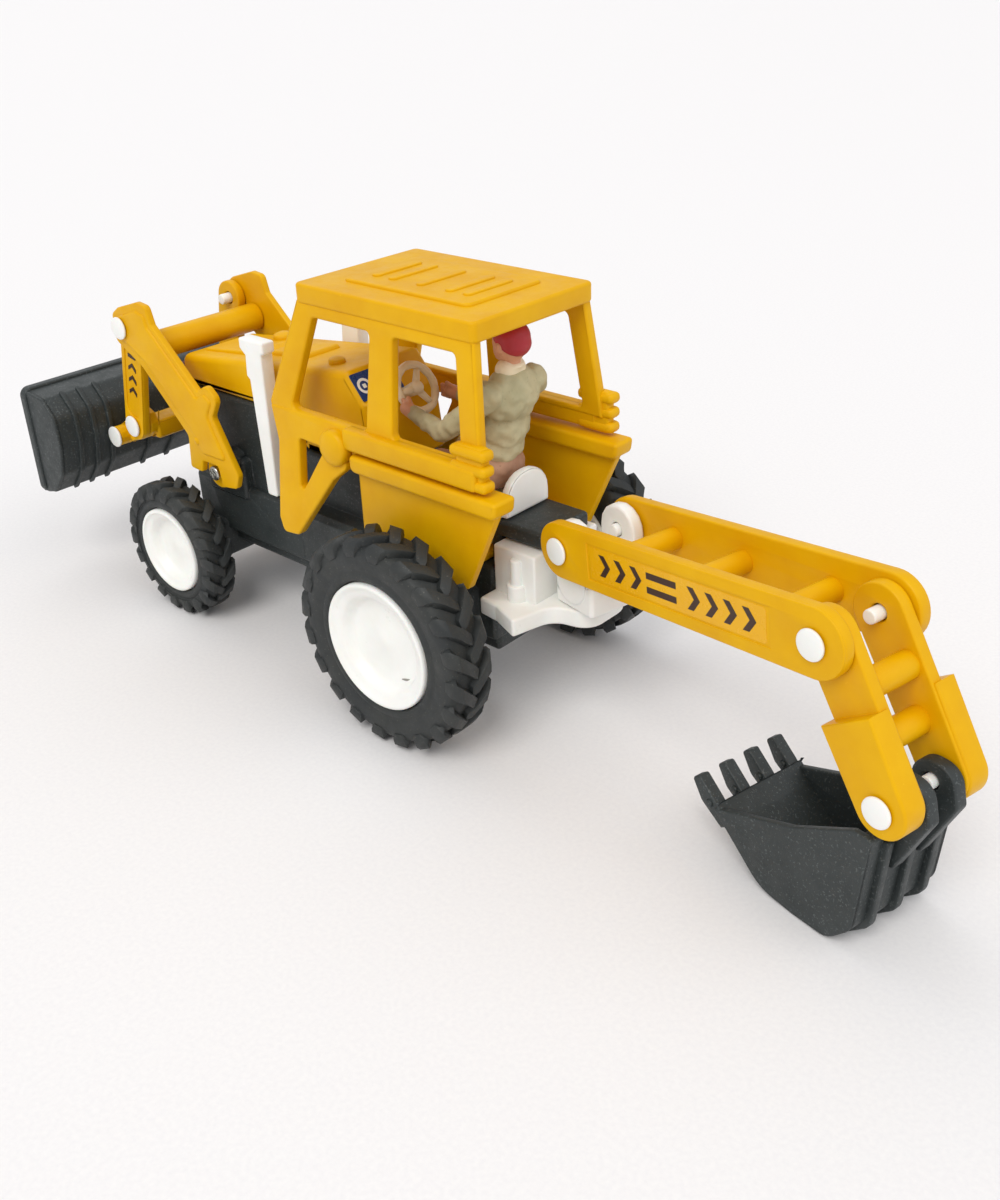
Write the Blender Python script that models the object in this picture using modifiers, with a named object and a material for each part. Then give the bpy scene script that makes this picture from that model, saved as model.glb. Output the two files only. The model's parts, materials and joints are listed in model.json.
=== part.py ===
"""A toy backhoe loader, about 317 mm long, as separate moulded pieces with pin joints.

Lengths are in millimetres and turned into metres where a mesh is made. The design frame has +X towards
the loader, +Y to the driver's left, +Z up, the ground at z = 0 and the rear axle above x = 0.
"""

import math

import bmesh
import bpy
from mathutils import Matrix, Vector

MM = 0.001
GAP = 0.3  # clearance between pieces that touch

# Wheels
REAR_TYRE_R = 30.0
REAR_RIM_R = 17.8
REAR_WIDTH = 13.8
REAR_OUTER_Y = 44.4
FRONT_TYRE_R = 21.9
FRONT_RIM_R = 13.7
FRONT_WIDTH = 10.8
FRONT_OUTER_Y = 35.2
WHEELBASE = 105.4
AXLE_R = 1.5
HUB_R = 3.6

# Where the bottom centre of the whole toy's box lies in the design frame
CENTRE_X = 12.7

# Cab
ROOF_TOP = 113.9
ROOF_BOTTOM = 107.8
ROOF_HALF = 22.4
SILL_Z = 79.0
SILL_Y = 25.0
SHEAR_UP = (SILL_Y - 22.0) / (ROOF_BOTTOM - SILL_Z)
SHEAR_DOWN = 5.0 / 36.0
SIDE_THICK = 3.0

# Hood
HOOD_HALF = 14.0
HOOD_BOTTOM = 70.0
GRILLE_TOP = 74.3  # low enough for the loader's cross tube to pass over

# Loader: pivot axes as (x, z)
LOADER_PIVOT = (92.0, 47.5)
LOADER_UPPER = (128.5, 86.8)
LINK_LOWER = (136.3, 52.2)
BUCKET_TILT = (148.3, 45.8)
ARM_Y = (20.8, 23.6)
LINK_Y = (17.6, 20.5)
CARRIER_Y = (13.8, 17.3)
BUCKET_EAR_Y = (10.5, 13.5)
LOADER_HALF = 39.0
TUBE_CENTRE = (119.2, 81.5)
TUBE_R = 4.4

# Backhoe: swing axis, then pivots as (x, z) with the boom straight behind the cab
SWING_X = -36.0
SWING_ANGLE = math.radians(12.6)
BOOM_PIVOT = (-39.0, 56.8)
ELBOW = (-119.5, 67.7)
BACK_TILT = (-139.5, 39.0)
BOOM_Y = (9.8, 13.0)
STICK_Y = (6.3, 9.5)
PIN_CAP_R = 3.5
PIN_R = 1.7


# ---------------------------------------------------------------- scene and materials

def clear_scene():
    """Removes every object of the open scene."""
    for obj in list(bpy.data.objects):
        bpy.data.objects.remove(obj, do_unlink=True)


def collection(name):
    made = bpy.data.collections.new(name)
    bpy.context.scene.collection.children.link(made)
    return made


def material(name, colour, roughness, metallic=0.0):
    made = bpy.data.materials.new(name)
    made.use_nodes = True
    made.diffuse_color = (*colour, 1.0)
    shader = made.node_tree.nodes["Principled BSDF"]
    shader.inputs["Base Color"].default_value = (*colour, 1.0)
    shader.inputs["Roughness"].default_value = roughness
    shader.inputs["Metallic"].default_value = metallic
    return made


clear_scene()
TOY = collection("toy_backhoe_loader")
CUTTERS = collection("cutters")

YELLOW = (0.80, 0.42, 0.01)
DARK = (0.035, 0.042, 0.042)
WHITE = (0.85, 0.85, 0.82)


# ---------------------------------------------------------------- shapes

def helper(mesh):
    """A hidden object that holds a shape until it is joined to or cut from another."""
    obj = bpy.data.objects.new("shape", mesh)
    CUTTERS.objects.link(obj)
    obj.hide_render = True
    obj.display_type = "WIRE"
    return obj


def from_bmesh(bm):
    mesh = bpy.data.meshes.new("shape")
    bmesh.ops.recalc_face_normals(bm, faces=bm.faces)
    if bm.calc_volume(signed=True) < 0:
        bmesh.ops.reverse_faces(bm, faces=bm.faces)
    bm.to_mesh(mesh)
    bm.free()
    return helper(mesh)


def evaluated_mesh(obj):
    bpy.context.view_layer.update()
    graph = bpy.context.evaluated_depsgraph_get()
    return bpy.data.meshes.new_from_object(obj.evaluated_get(graph))


AXES = {
    "X": Matrix(((0, 0, 1, 0), (1, 0, 0, 0), (0, 1, 0, 0), (0, 0, 0, 1))),
    "Y": Matrix(((1, 0, 0, 0), (0, 0, -1, 0), (0, 1, 0, 0), (0, 0, 0, 1))),
    "Z": Matrix.Identity(4),
}


def box(x, y, z, edge=0.0):
    """A box between (low, high) pairs, with its edges chamfered when edge is given."""
    bm = bmesh.new()
    bmesh.ops.create_cube(bm, size=1.0)
    size = Vector((x[1] - x[0], y[1] - y[0], z[1] - z[0])) * MM
    middle = Vector((x[0] + x[1], y[0] + y[1], z[0] + z[1])) * MM / 2
    bm.transform(Matrix.Translation(middle) @ Matrix.Diagonal((*size, 1.0)))
    if edge:
        bmesh.ops.bevel(bm, geom=bm.edges[:], offset=edge * MM, segments=1, affect="EDGES")
    return from_bmesh(bm)


def rod(centre, low, high, radius, axis="Y", sides=20, edge=0.0):
    """A cylinder along an axis through centre, given in the plane across that axis."""
    bm = bmesh.new()
    bmesh.ops.create_cone(
        bm, cap_ends=True, segments=sides, radius1=radius * MM, radius2=radius * MM,
        depth=(high - low) * MM,
    )
    if edge:
        rims = [e for e in bm.edges if abs(e.verts[0].co.z - e.verts[1].co.z) < 1e-7]
        bmesh.ops.bevel(bm, geom=rims, offset=edge * MM, segments=1, affect="EDGES")
    if axis == "Y":
        bm.transform(Matrix.Rotation(math.pi / 2, 4, "X"))
        place = (centre[0], (low + high) / 2, centre[1])
    elif axis == "Z":
        place = (centre[0], centre[1], (low + high) / 2)
    else:
        bm.transform(Matrix.Rotation(math.pi / 2, 4, "Y"))
        place = ((low + high) / 2, centre[0], centre[1])
    bm.transform(Matrix.Translation(Vector(place) * MM))
    return from_bmesh(bm)


def ball(centre, radii, rings=7, sides=10):
    bm = bmesh.new()
    bmesh.ops.create_uvsphere(bm, u_segments=sides, v_segments=rings, radius=1.0)
    scale = Matrix.Diagonal((*(Vector(radii) * MM), 1.0))
    bm.transform(Matrix.Translation(Vector(centre) * MM) @ scale)
    return from_bmesh(bm)


def rounded(corners, steps=3):
    """Outline points from (x, y, radius) corners, each turned into an arc."""
    points = []
    for i, (x, y, radius) in enumerate(corners):
        here = Vector((x, y))
        if radius == 0:
            points.append(here)
            continue
        back = (Vector(corners[i - 1][:2]) - here).normalized()
        onward = (Vector(corners[(i + 1) % len(corners)][:2]) - here).normalized()
        half = math.acos(max(-1.0, min(1.0, back.dot(onward)))) / 2
        centre = here + (back + onward).normalized() * (radius / math.sin(half))
        first = here + back * (radius / math.tan(half)) - centre
        last = here + onward * (radius / math.tan(half)) - centre
        start = math.atan2(first.y, first.x)
        sweep = (math.atan2(last.y, last.x) - start + math.pi) % (2 * math.pi) - math.pi
        for k in range(steps + 1):
            angle = start + sweep * k / steps
            points.append(centre + radius * Vector((math.cos(angle), math.sin(angle))))
    return points


def strap(a, b, radius_a, radius_b, steps=8):
    """The outline of a plate with a round end about a and another about b."""
    a, b = Vector(a), Vector(b)
    along = math.atan2(b.y - a.y, b.x - a.x)
    spread = math.acos((radius_a - radius_b) / (b - a).length)
    points = []
    for centre, radius, first, last in (
        (b, radius_b, along - spread, along + spread),
        (a, radius_a, along + spread, along + 2 * math.pi - spread),
    ):
        for k in range(steps + 1):
            angle = first + (last - first) * k / steps
            points.append(centre + radius * Vector((math.cos(angle), math.sin(angle))))
    return points


def plate(outline, span, axis="Y", holes=(), edge=0.0):
    """A flat piece: a filled 2D curve with thickness, made a mesh between the two ends of span."""
    curve = bpy.data.curves.new("outline", "CURVE")
    curve.dimensions = "2D"
    curve.fill_mode = "BOTH"
    curve.extrude = ((span[1] - span[0]) / 2 - edge) * MM
    curve.bevel_depth = edge * MM
    curve.bevel_resolution = 0
    curve.offset = -edge * MM
    for loop in (outline, *holes):
        spline = curve.splines.new("POLY")
        spline.points.add(len(loop) - 1)
        for point, place in zip(spline.points, loop):
            point.co = (place[0] * MM, place[1] * MM, 0.0, 1.0)
        spline.use_cyclic_u = True
    guide = bpy.data.objects.new("outline", curve)
    CUTTERS.objects.link(guide)
    mesh = evaluated_mesh(guide)
    bpy.data.objects.remove(guide, do_unlink=True)
    bm = bmesh.new()
    bm.from_mesh(mesh)
    bmesh.ops.remove_doubles(bm, verts=bm.verts, dist=1e-6)
    middle = (span[0] + span[1]) / 2 * MM
    shift = {"X": (middle, 0, 0), "Y": (0, middle, 0), "Z": (0, 0, middle)}[axis]
    bm.transform(Matrix.Translation(shift) @ AXES[axis])
    return from_bmesh(bm)


def turned(profile, centre, sides, closed=True):
    """A shape turned about a Y axis through centre (x, z) from (radius, y) points.

    The profile runs from its outer face at high y, along the outside, to low y.
    """
    mesh = bpy.data.meshes.new("profile")
    points = [(r * MM, 0.0, y * MM) for r, y in profile]
    links = [(i, i + 1) for i in range(len(points) - 1)]
    if closed:
        links.append((len(points) - 1, 0))
    mesh.from_pydata(points, links, [])
    obj = helper(mesh)
    screw = obj.modifiers.new("turn", "SCREW")
    screw.steps = sides
    screw.render_steps = sides
    screw.use_merge_vertices = True
    screw.merge_threshold = 1e-6
    made = evaluated_mesh(obj)
    bpy.data.objects.remove(obj, do_unlink=True)
    bm = bmesh.new()
    bm.from_mesh(made)
    bmesh.ops.remove_doubles(bm, verts=bm.verts, dist=1e-6)
    bmesh.ops.dissolve_degenerate(bm, edges=bm.edges, dist=1e-6)
    place = Matrix.Translation(Vector((centre[0], 0, centre[1])) * MM)
    bm.transform(place @ Matrix.Rotation(-math.pi / 2, 4, "X"))
    return from_bmesh(bm)


def reshape(obj, move):
    """Moves each vertex of a shape by a rule that takes and gives millimetres."""
    for vertex in obj.data.vertices:
        vertex.co = Vector(move(vertex.co / MM)) * MM
    return obj


def joined(base, add=(), cut=()):
    """The base with other shapes joined to it and cut from it."""
    for operation, others in (("UNION", add), ("DIFFERENCE", cut)):
        for other in others:
            step = base.modifiers.new(operation.lower(), "BOOLEAN")
            step.operation = operation
            step.object = other
    result = helper(evaluated_mesh(base))
    for used in (base, *add, *cut):
        bpy.data.objects.remove(used, do_unlink=True)
    return result


def mirrored(obj):
    """The shape on the other side of the toy."""
    bm = bmesh.new()
    bm.from_mesh(obj.data)
    bm.transform(Matrix.Diagonal((1, -1, 1, 1)))
    bmesh.ops.reverse_faces(bm, faces=bm.faces)
    bpy.data.objects.remove(obj, do_unlink=True)
    return from_bmesh(bm)


def on_side(obj, side):
    return obj if side > 0 else mirrored(obj)


def empty(name, place, parent=None, turn=0.0):
    """A joint frame at a place in the design frame."""
    made = bpy.data.objects.new(name, None)
    TOY.objects.link(made)
    made.parent = parent
    offset = Vector(place) - (Vector(parent["design_origin"]) if parent else Vector((0, 0, 0)))
    made.location = offset * MM
    made.rotation_euler = (0, 0, turn)
    made["design_origin"] = tuple(place)
    return made


def piece(name, shape, finish, parent):
    """Names a finished shape, gives it its material and hangs it on its joint frame."""
    bm = bmesh.new()
    bm.from_mesh(shape.data)
    origin = Vector(parent["design_origin"]) * MM
    bm.transform(Matrix.Translation(-origin))
    bmesh.ops.dissolve_limit(
        bm, angle_limit=math.radians(0.05), verts=bm.verts, edges=bm.edges
    )
    mesh = bpy.data.meshes.new(name)
    bm.to_mesh(mesh)
    bm.free()
    mesh.shade_smooth()
    mesh.set_sharp_from_angle(angle=math.radians(32))
    colour, roughness, metallic = finish
    mesh.materials.append(material(name, colour, roughness, metallic))
    obj = bpy.data.objects.new(name, mesh)
    TOY.objects.link(obj)
    obj.parent = parent
    bpy.data.objects.remove(shape, do_unlink=True)
    return obj


YELLOW_PLASTIC = (YELLOW, 0.35, 0.0)
DARK_PLASTIC = (DARK, 0.5, 0.0)
WHITE_PLASTIC = (WHITE, 0.35, 0.0)
RUBBER = ((0.03, 0.034, 0.036), 0.7, 0.0)
STEEL = ((0.6, 0.6, 0.58), 0.3, 1.0)
CREAM = ((0.72, 0.62, 0.42), 0.6, 0.0)
GRILLE_RED = ((0.30, 0.05, 0.01), 0.5, 0.0)

SIDES = (("left", 1), ("right", -1))


# ---------------------------------------------------------------- joint frames

VEHICLE = empty("vehicle", (0, 0, 0))
VEHICLE.location = (-CENTRE_X * MM, 0, 0)
FRONT_AXIS = empty("front_wheel_axis", (WHEELBASE, 0, FRONT_TYRE_R), VEHICLE)
REAR_AXIS = empty("rear_wheel_axis", (0, 0, REAR_TYRE_R), VEHICLE)
LIFT_AXIS = empty("loader_lift_axis", (LOADER_PIVOT[0], 0, LOADER_PIVOT[1]), VEHICLE)
LINK_AXIS = empty("loader_link_axis", (LOADER_UPPER[0], 0, LOADER_UPPER[1]), LIFT_AXIS)
CARRIER_AXIS = empty("carrier_axis", (LINK_LOWER[0], 0, LINK_LOWER[1]), LINK_AXIS)
BUCKET_AXIS = empty("loader_bucket_axis", (BUCKET_TILT[0], 0, BUCKET_TILT[1]), CARRIER_AXIS)
SWING_AXIS = empty("backhoe_swing_axis", (SWING_X, 0, 0), VEHICLE, -SWING_ANGLE)
BOOM_AXIS = empty("boom_axis", (BOOM_PIVOT[0], 0, BOOM_PIVOT[1]), SWING_AXIS)
STICK_AXIS = empty("stick_axis", (ELBOW[0], 0, ELBOW[1]), BOOM_AXIS)
BACK_BUCKET_AXIS = empty("backhoe_bucket_axis", (BACK_TILT[0], 0, BACK_TILT[1]), STICK_AXIS)


# ---------------------------------------------------------------- chassis and body

STABILISER_X = (-28.0, -14.0)
STABILISER_Z = (38.0, 52.0)
HITCH_Z = (STABILISER_Z[1] + GAP, 57.0)
DECK_Z = (45.0, 47.0)


def build_chassis():
    """The dark tub: spine, engine block, loader pivot bosses, tanks and rear hitch block."""
    spine = box((-12, 119), (-10, 10), (17, 38), 1.0)
    engine = box((58, 112.9), (-13.4, 13.4), (20, HOOD_BOTTOM - GAP), 1.0)
    ledge = box((60, 112), (-16, 16), (24, 42), 1.2)
    tanks = box((24, 57), (-20, 20), (27, DECK_Z[0] - GAP), 1.5)
    waist = box((22.4, 60), (-13, 13), (36, 60), 1.0)
    rear_block = box((-13.6, 26), (-13, 13), (22, DECK_Z[0] - GAP), 1.0)
    hitch = box((-28, -8), (-9.5, 9.5), HITCH_Z, 0.8)
    hitch_web = box((-13.4, -10.3), (-9.5, 9.5), (40, HITCH_Z[1]), 0.5)
    front_beam = box((98, 113), (-22, 22), (15, 28), 1.2)
    rear_beam = box((-8, 8), (-28, 28), (23, 38), 1.2)
    bosses = [rod(LOADER_PIVOT, side * 15 - 2.2, side * 15 + 2.2, 6.0) for _, side in SIDES]
    brackets = [
        box((85, 104), sorted((side * 12, side * 16.9)), (38, 51), 0.8) for _, side in SIDES
    ]
    bores = [
        rod((WHEELBASE, FRONT_TYRE_R), -30, 30, AXLE_R + GAP, sides=12),
        rod((0, REAR_TYRE_R), -30, 30, AXLE_R + GAP, sides=12),
    ]
    screw_holes = [
        rod(LOADER_PIVOT, *sorted((side * 10, side * 20)), 1.2 + GAP, sides=12)
        for _, side in SIDES
    ]
    body = joined(
        spine,
        [engine, ledge, tanks, waist, rear_block, hitch, hitch_web, front_beam, rear_beam,
         *bosses, *brackets],
        bores + screw_holes,
    )
    piece("chassis", body, DARK_PLASTIC, VEHICLE)


HOOD_PROFILE = [
    (113.0, HOOD_BOTTOM, 0), (113.0, 79.0, 3.0), (36.5, 88.3, 1.5), (29.5, 80.0, 0),
    (27.0, 61.0, 0), (57.5, 61.0, 0), (57.5, HOOD_BOTTOM, 0),
]


def build_hood():
    """The wedge-shaped hood shell that runs back into the cab as the dash console."""
    shell = plate(rounded(HOOD_PROFILE), (-HOOD_HALF, HOOD_HALF), edge=1.4)
    hollow = box((60, 111), (-12, 12), (HOOD_BOTTOM - 1, 76))
    console_hollow = box((33, 55), (-12, 12), (60, 78))
    cap = rod((88, -7), 80, 85.3, 3.2, axis="Z", sides=16, edge=0.8)
    emblem_pad = box((60, 80), (-6, 6), (82, 86.6), 0.6)
    piece("hood", joined(shell, [cap, emblem_pad], [hollow, console_hollow]), YELLOW_PLASTIC,
          VEHICLE)


def build_grille():
    """The radiator grille in front of the hood, with upright slots round its nose."""
    block = plate(
        rounded([(113.3, -12.5, 0), (119.5, -12.5, 3), (119.5, 12.5, 3), (113.3, 12.5, 0)]),
        (62, GRILLE_TOP), axis="Z",
    )
    slots = [
        box((118.2, 121), (y - 0.8, y + 0.8), (64, GRILLE_TOP - 0.6)) for y in (-8, -4, 0, 4, 8)
    ]
    side_slots = [
        box((x - 0.6, x + 0.6), sorted((side * 11.2, side * 14)), (64, GRILLE_TOP - 0.6))
        for x in (114.9, 117.2) for _, side in SIDES
    ]
    lip = box((116.5, 118.5), (-11, 11), (60.5, 63), 0.5)
    block = joined(block, [lip], slots + side_slots)
    foot = box((113.3, 118), (-9.6, 9.6), (38.3, 62.5), 0.5)
    piece("grille", joined(block, [foot]), GRILLE_RED, VEHICLE)


def fender_side(side):
    """A shelf over the wheel with its skirt, on the left and then moved to its side."""
    skirt = plate(
        rounded([(22, 70, 0), (22, 44, 0), (-16.1, 44, 1.0), (-28.6, 71, 1.0)]), (22.6, 25.2)
    )
    shelf = plate(
        rounded([(22.8, 67.3, 2), (22.8, 72.0, 1), (-28.8, 72.0, 1), (-28.2, 67.3, 2)]),
        (19.8, 27.6), edge=0.8,
    )
    return on_side(joined(skirt, [shelf]), side)


def build_rear_body():
    """The yellow rear body: both fenders joined by a deck under the seat."""
    deck = box((-10, 22), (-24.5, 24.5), DECK_Z)
    front_wall = box((19.6, 22), (-24.5, 24.5), (DECK_Z[0], 60))
    opening = box((15, 25), (-13.3, 13.3), (DECK_Z[1] + 0.5, 61))
    body = joined(deck, [front_wall, fender_side(1), fender_side(-1)], [opening])
    piece("rear_body", body, YELLOW_PLASTIC, VEHICLE)


def cab_side(side):
    """One side of the cab: window frame above the sill and splayed V strut below it."""
    upper = plate(
        rounded([(-22.3, 76, 0), (-18.5, 109.5, 0), (44.3, 109.5, 0), (56.3, 79.4, 2),
                 (55.4, 76, 0)]),
        (SILL_Y - SIDE_THICK, SILL_Y),
        holes=(
            rounded([(47.4, 79, 1.5), (37.9, 104.7, 1.5), (16.4, 104.7, 1.5), (17.8, 79, 1.5)], 2),
            rounded([(8.3, 79, 1.5), (8.3, 104.7, 1.5), (-12.9, 104.7, 1.5), (-15.7, 79, 1.5)], 2),
        ),
    )
    reshape(upper, lambda v: (v.x, v.y - (v.z - SILL_Z) * SHEAR_UP, v.z))
    lower = plate(
        rounded([(-20, 78.5, 0), (-20, 73.0, 0), (27, 73.0, 0), (24.5, 67.5, 2), (30, 63, 0),
                 (44.3, 43.6, 2), (50.5, 43.0, 2), (52.5, 47, 1), (52.6, 69, 3), (56, 78.5, 0)]),
        (SILL_Y - SIDE_THICK, SILL_Y + 0.3),
        holes=(rounded([(44, 71.5, 1.2), (33.5, 71.0, 1.2), (43.2, 55.5, 1.0)], 2),),
    )
    reshape(lower, lambda v: (v.x, v.y + (SILL_Z - v.z) * SHEAR_DOWN, v.z))
    beam = plate(
        rounded([(-22, 73.0, 0), (-22, SILL_Z, 0), (22, SILL_Z, 2), (25, 73.0, 2)]),
        (SILL_Y - 2, SILL_Y + 2.4), edge=0.7,
    )
    knuckle = rod((28.8, 72.5), SILL_Y - 1, SILL_Y + 3.8, 5.0, sides=14, edge=1.2)
    ribs = [box((-23.8, -14.6), (22.8, 26.0), (72.6, 84.2), 0.8)]
    for k in range(3):
        z = 73.0 + 4.0 * k
        ribs.append(box((-25.0, -13.4), (22.4, 27.0), (z, z + 2.8), 0.9))
    return on_side(joined(upper, [lower, beam, knuckle, *ribs]), side)


def build_cab():
    """The roof on its two side frames, with the ribbed blocks at the rear corners."""
    roof = plate(
        rounded([(-19.4, -ROOF_HALF, 1.8), (43.8, -ROOF_HALF, 1.8), (43.8, ROOF_HALF, 1.8),
                 (-19.4, ROOF_HALF, 1.8)]),
        (ROOF_BOTTOM, ROOF_TOP - 0.8), axis="Z", edge=0.6,
    )
    hatch = plate(
        rounded([(-10, -14, 2), (34, -14, 2), (34, 14, 2), (-10, 14, 2)]),
        (ROOF_TOP - 2, ROOF_TOP), axis="Z", edge=0.5,
    )
    header = box((38.5, 43), (-20.5, 20.5), (103.5, 109), 0.8)
    cab = joined(roof, [hatch, header, cab_side(1), cab_side(-1)])
    piece("cab_frame", cab, YELLOW_PLASTIC, VEHICLE)


def exhaust_outline(y):
    """The stack seen from the side: a wide cap, then a body that tapers to its foot."""
    return plate(
        rounded([(73.5, 89.8, 0), (73.5, 92.8, 0.6), (63.0, 92.8, 0.6), (63.0, 89.7, 0),
                 (64.2, 89.0, 0), (64.8, 46, 0), (69.2, 46, 0), (70.6, 81.0, 0),
                 (71.8, 82.0, 0), (71.3, 88.0, 0)], 2),
        y, edge=0.5,
    )


def build_exhausts():
    for name, side in SIDES:
        stack = exhaust_outline((15.9, 20.4))
        foot = box((64.9, 69.1), (HOOD_HALF + GAP, 17.0), (52, 58), 0.4)
        piece(f"exhaust_{name}", on_side(joined(stack, [foot]), side), WHITE_PLASTIC, VEHICLE)


def build_seat():
    """A moulded seat: rounded back, cushion pan and the flange that sits on the hitch block."""
    back = plate(
        rounded([(-8.3, 57.3, 0), (8.3, 57.3, 0), (8.3, 68.5, 7.5), (-8.3, 68.5, 7.5)], 6),
        (-15.4, -12.6), axis="X", edge=0.5,
    )
    pan = box((-13.5, 7), (-9.5, 9.5), (57.3, 60.5), 0.8)
    leg = box((-7.7, 6), (-8, 8), (DECK_Z[1] + GAP, 58), 0.5)
    piece("driver_seat", joined(back, [pan, leg]), WHITE_PLASTIC, VEHICLE)


WHEEL_CENTRE = Vector((24.0, 0.0, 82.5))
WHEEL_TILT = math.radians(28)


def build_steering_wheel():
    """A ring with three spokes, a hub and a column that reaches the dash."""
    bpy.ops.mesh.primitive_torus_add(
        major_radius=6.4 * MM, minor_radius=1.15 * MM, major_segments=24, minor_segments=6
    )
    made = bpy.context.object
    ring = helper(made.data)
    bpy.data.objects.remove(made, do_unlink=True)
    hub = rod((0, 0), -5.2, 1.2, 1.8, axis="Z", sides=12)
    spokes = []
    for k in range(3):
        spoke = box((0, 6.4), (-0.9, 0.9), (-0.6, 0.6))
        turn = Matrix.Rotation(math.radians(90 + 120 * k), 3, "Z")
        spokes.append(reshape(spoke, lambda v, turn=turn: turn @ v))
    wheel = joined(ring, [hub, *spokes])
    tilt = Matrix.Rotation(-(math.pi / 2 - WHEEL_TILT), 3, "Y")
    reshape(wheel, lambda v: WHEEL_CENTRE + tilt @ v)
    piece("steering_wheel", wheel, CREAM, VEHICLE)


def build_driver():
    """A seated figure: torso, hips and head as balls and the limbs as tapered tubes."""
    def limb(a, b, radius_a, radius_b):
        a, b = Vector(a), Vector(b)
        bm = bmesh.new()
        bmesh.ops.create_cone(
            bm, cap_ends=True, segments=8, radius1=radius_a * MM, radius2=radius_b * MM,
            depth=(b - a).length * MM,
        )
        aim = (b - a).to_track_quat("Z", "Y").to_matrix().to_4x4()
        bm.transform(Matrix.Translation((a + b) / 2 * MM) @ aim)
        return from_bmesh(bm)

    parts = [
        ball((-10.6, 0, 87.5), (5.8, 10.6, 7.8), 8, 12),
        ball((-6.2, 0, 67), (5.4, 7.8, 6.2)),
        ball((-10.7, 0, 101.4), (5.1, 4.9, 5.7), 8, 12),
        limb((-10.6, 0, 92), (-10.7, 0, 99), 3.2, 2.6),
    ]
    for _, side in SIDES:
        parts += [
            ball((-10.4, side * 9.0, 89.6), (3.6, 3.4, 3.6), 6, 8),
            limb((-10.4, side * 9.2, 89.6), (4, side * 11.2, 77.5), 3.3, 2.6),
            ball((4, side * 11.2, 77.5), (2.7, 2.7, 2.7), 5, 8),
            limb((4, side * 11.2, 77.5), (19, side * 8.8, 80), 2.5, 1.9),
            limb((-5.6, side * 4.2, 65.5), (11, side * 5.2, 66.5), 3.9, 3.3),
            ball((11, side * 5.2, 66.5), (3.4, 3.3, 3.3), 5, 8),
            limb((11, side * 5.2, 66.5), (12.5, side * 5.2, 50), 3.1, 2.5),
            box((10.5, 17.5), sorted((side * 3.0, side * 7.6)), (47.6, 51.2), 0.8),
        ]
    torso = limb((-6.2, 0, 66), (-10.6, 0, 90), 5.7, 7.0)
    piece("driver_figure", joined(torso, parts), CREAM, VEHICLE)


# ---------------------------------------------------------------- wheels

def tyre_profile(radius, bore, outer_y, width):
    """A ring with rounded shoulders and a flat tread, in (radius, y) points."""
    inner_y = outer_y - width
    return [
        (bore, outer_y - 0.8), (bore + 2.0, outer_y), (radius - 4.5, outer_y),
        (radius - 1.0, outer_y - 0.9), (radius, outer_y - 2.2), (radius, inner_y + 2.2),
        (radius - 1.0, inner_y + 0.9), (radius - 4.5, inner_y), (bore, inner_y),
    ]


def rim_profile(radius, outer_y, width):
    """A dished disc with a lip, a flat middle and, inside, a hub with a blind axle bore."""
    inner_y = outer_y - width
    return [
        (0, outer_y - 3.2), (radius * 0.62, outer_y - 3.2), (radius * 0.80, outer_y - 1.6),
        (radius - 1.8, outer_y - 0.4), (radius, outer_y - 0.4), (radius, inner_y + 0.6),
        (radius - 1.8, inner_y + 0.6), (radius - 1.8, outer_y - 5.2), (HUB_R, outer_y - 5.2),
        (HUB_R, inner_y - 1.5), (AXLE_R + GAP, inner_y - 1.5), (AXLE_R + GAP, outer_y - 6.4),
        (0, outer_y - 6.4),
    ]


def build_wheels(place, x, tyre_r, rim_r, outer_y, width, parent):
    """One axle with its two rims and two tyres."""
    centre = (x, tyre_r)
    for name, side in SIDES:
        tyre = turned(tyre_profile(tyre_r, rim_r + GAP, outer_y, width), centre, 32)
        rim = turned(rim_profile(rim_r, outer_y, width), centre, 22, closed=False)
        piece(f"{place}_tyre_{name}", on_side(tyre, side), RUBBER, parent)
        piece(f"{place}_rim_{name}", on_side(rim, side), WHITE_PLASTIC, parent)
    reach = outer_y - 6.4 - GAP
    piece(f"{place}_axle", rod(centre, -reach, reach, AXLE_R, sides=12), STEEL, parent)


# ---------------------------------------------------------------- pins

def pin(centre, cap_y, shank_to, cap_thick=1.1):
    """A white snap pin on the left side: a domed cap and a shank that runs inward."""
    cap = rod(centre, cap_y - cap_thick, cap_y, PIN_CAP_R, sides=14)
    shank = rod(centre, shank_to, cap_y - cap_thick / 2, PIN_R, sides=8)
    return joined(cap, [shank])


def pin_hole(centre, span):
    return rod(centre, span[0] - 1, span[1] + 1, PIN_R + GAP, sides=12)


# ---------------------------------------------------------------- front loader

ARM_OUTLINE = [
    (133.5, 82.0, 3), (133.0, 90.5, 2), (129.5, 92.8, 1.5), (119.0, 96.0, 2.5),
    (114.2, 95.5, 2), (112.6, 90.0, 1),
    (93.8, 73.2, 1), (89.3, 76.3, 2.5), (84.6, 72.4, 2.5), (88.2, 66.3, 2), (79.2, 49.8, 2),
    (81.0, 45.2, 2), (87.8, 44.2, 1), (89.0, 50.6, 1), (96.4, 50.6, 1), (97.6, 46.6, 1),
    (103.4, 47.0, 1), (102.2, 57.6, 2), (121.2, 75.6, 3),
]


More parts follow.
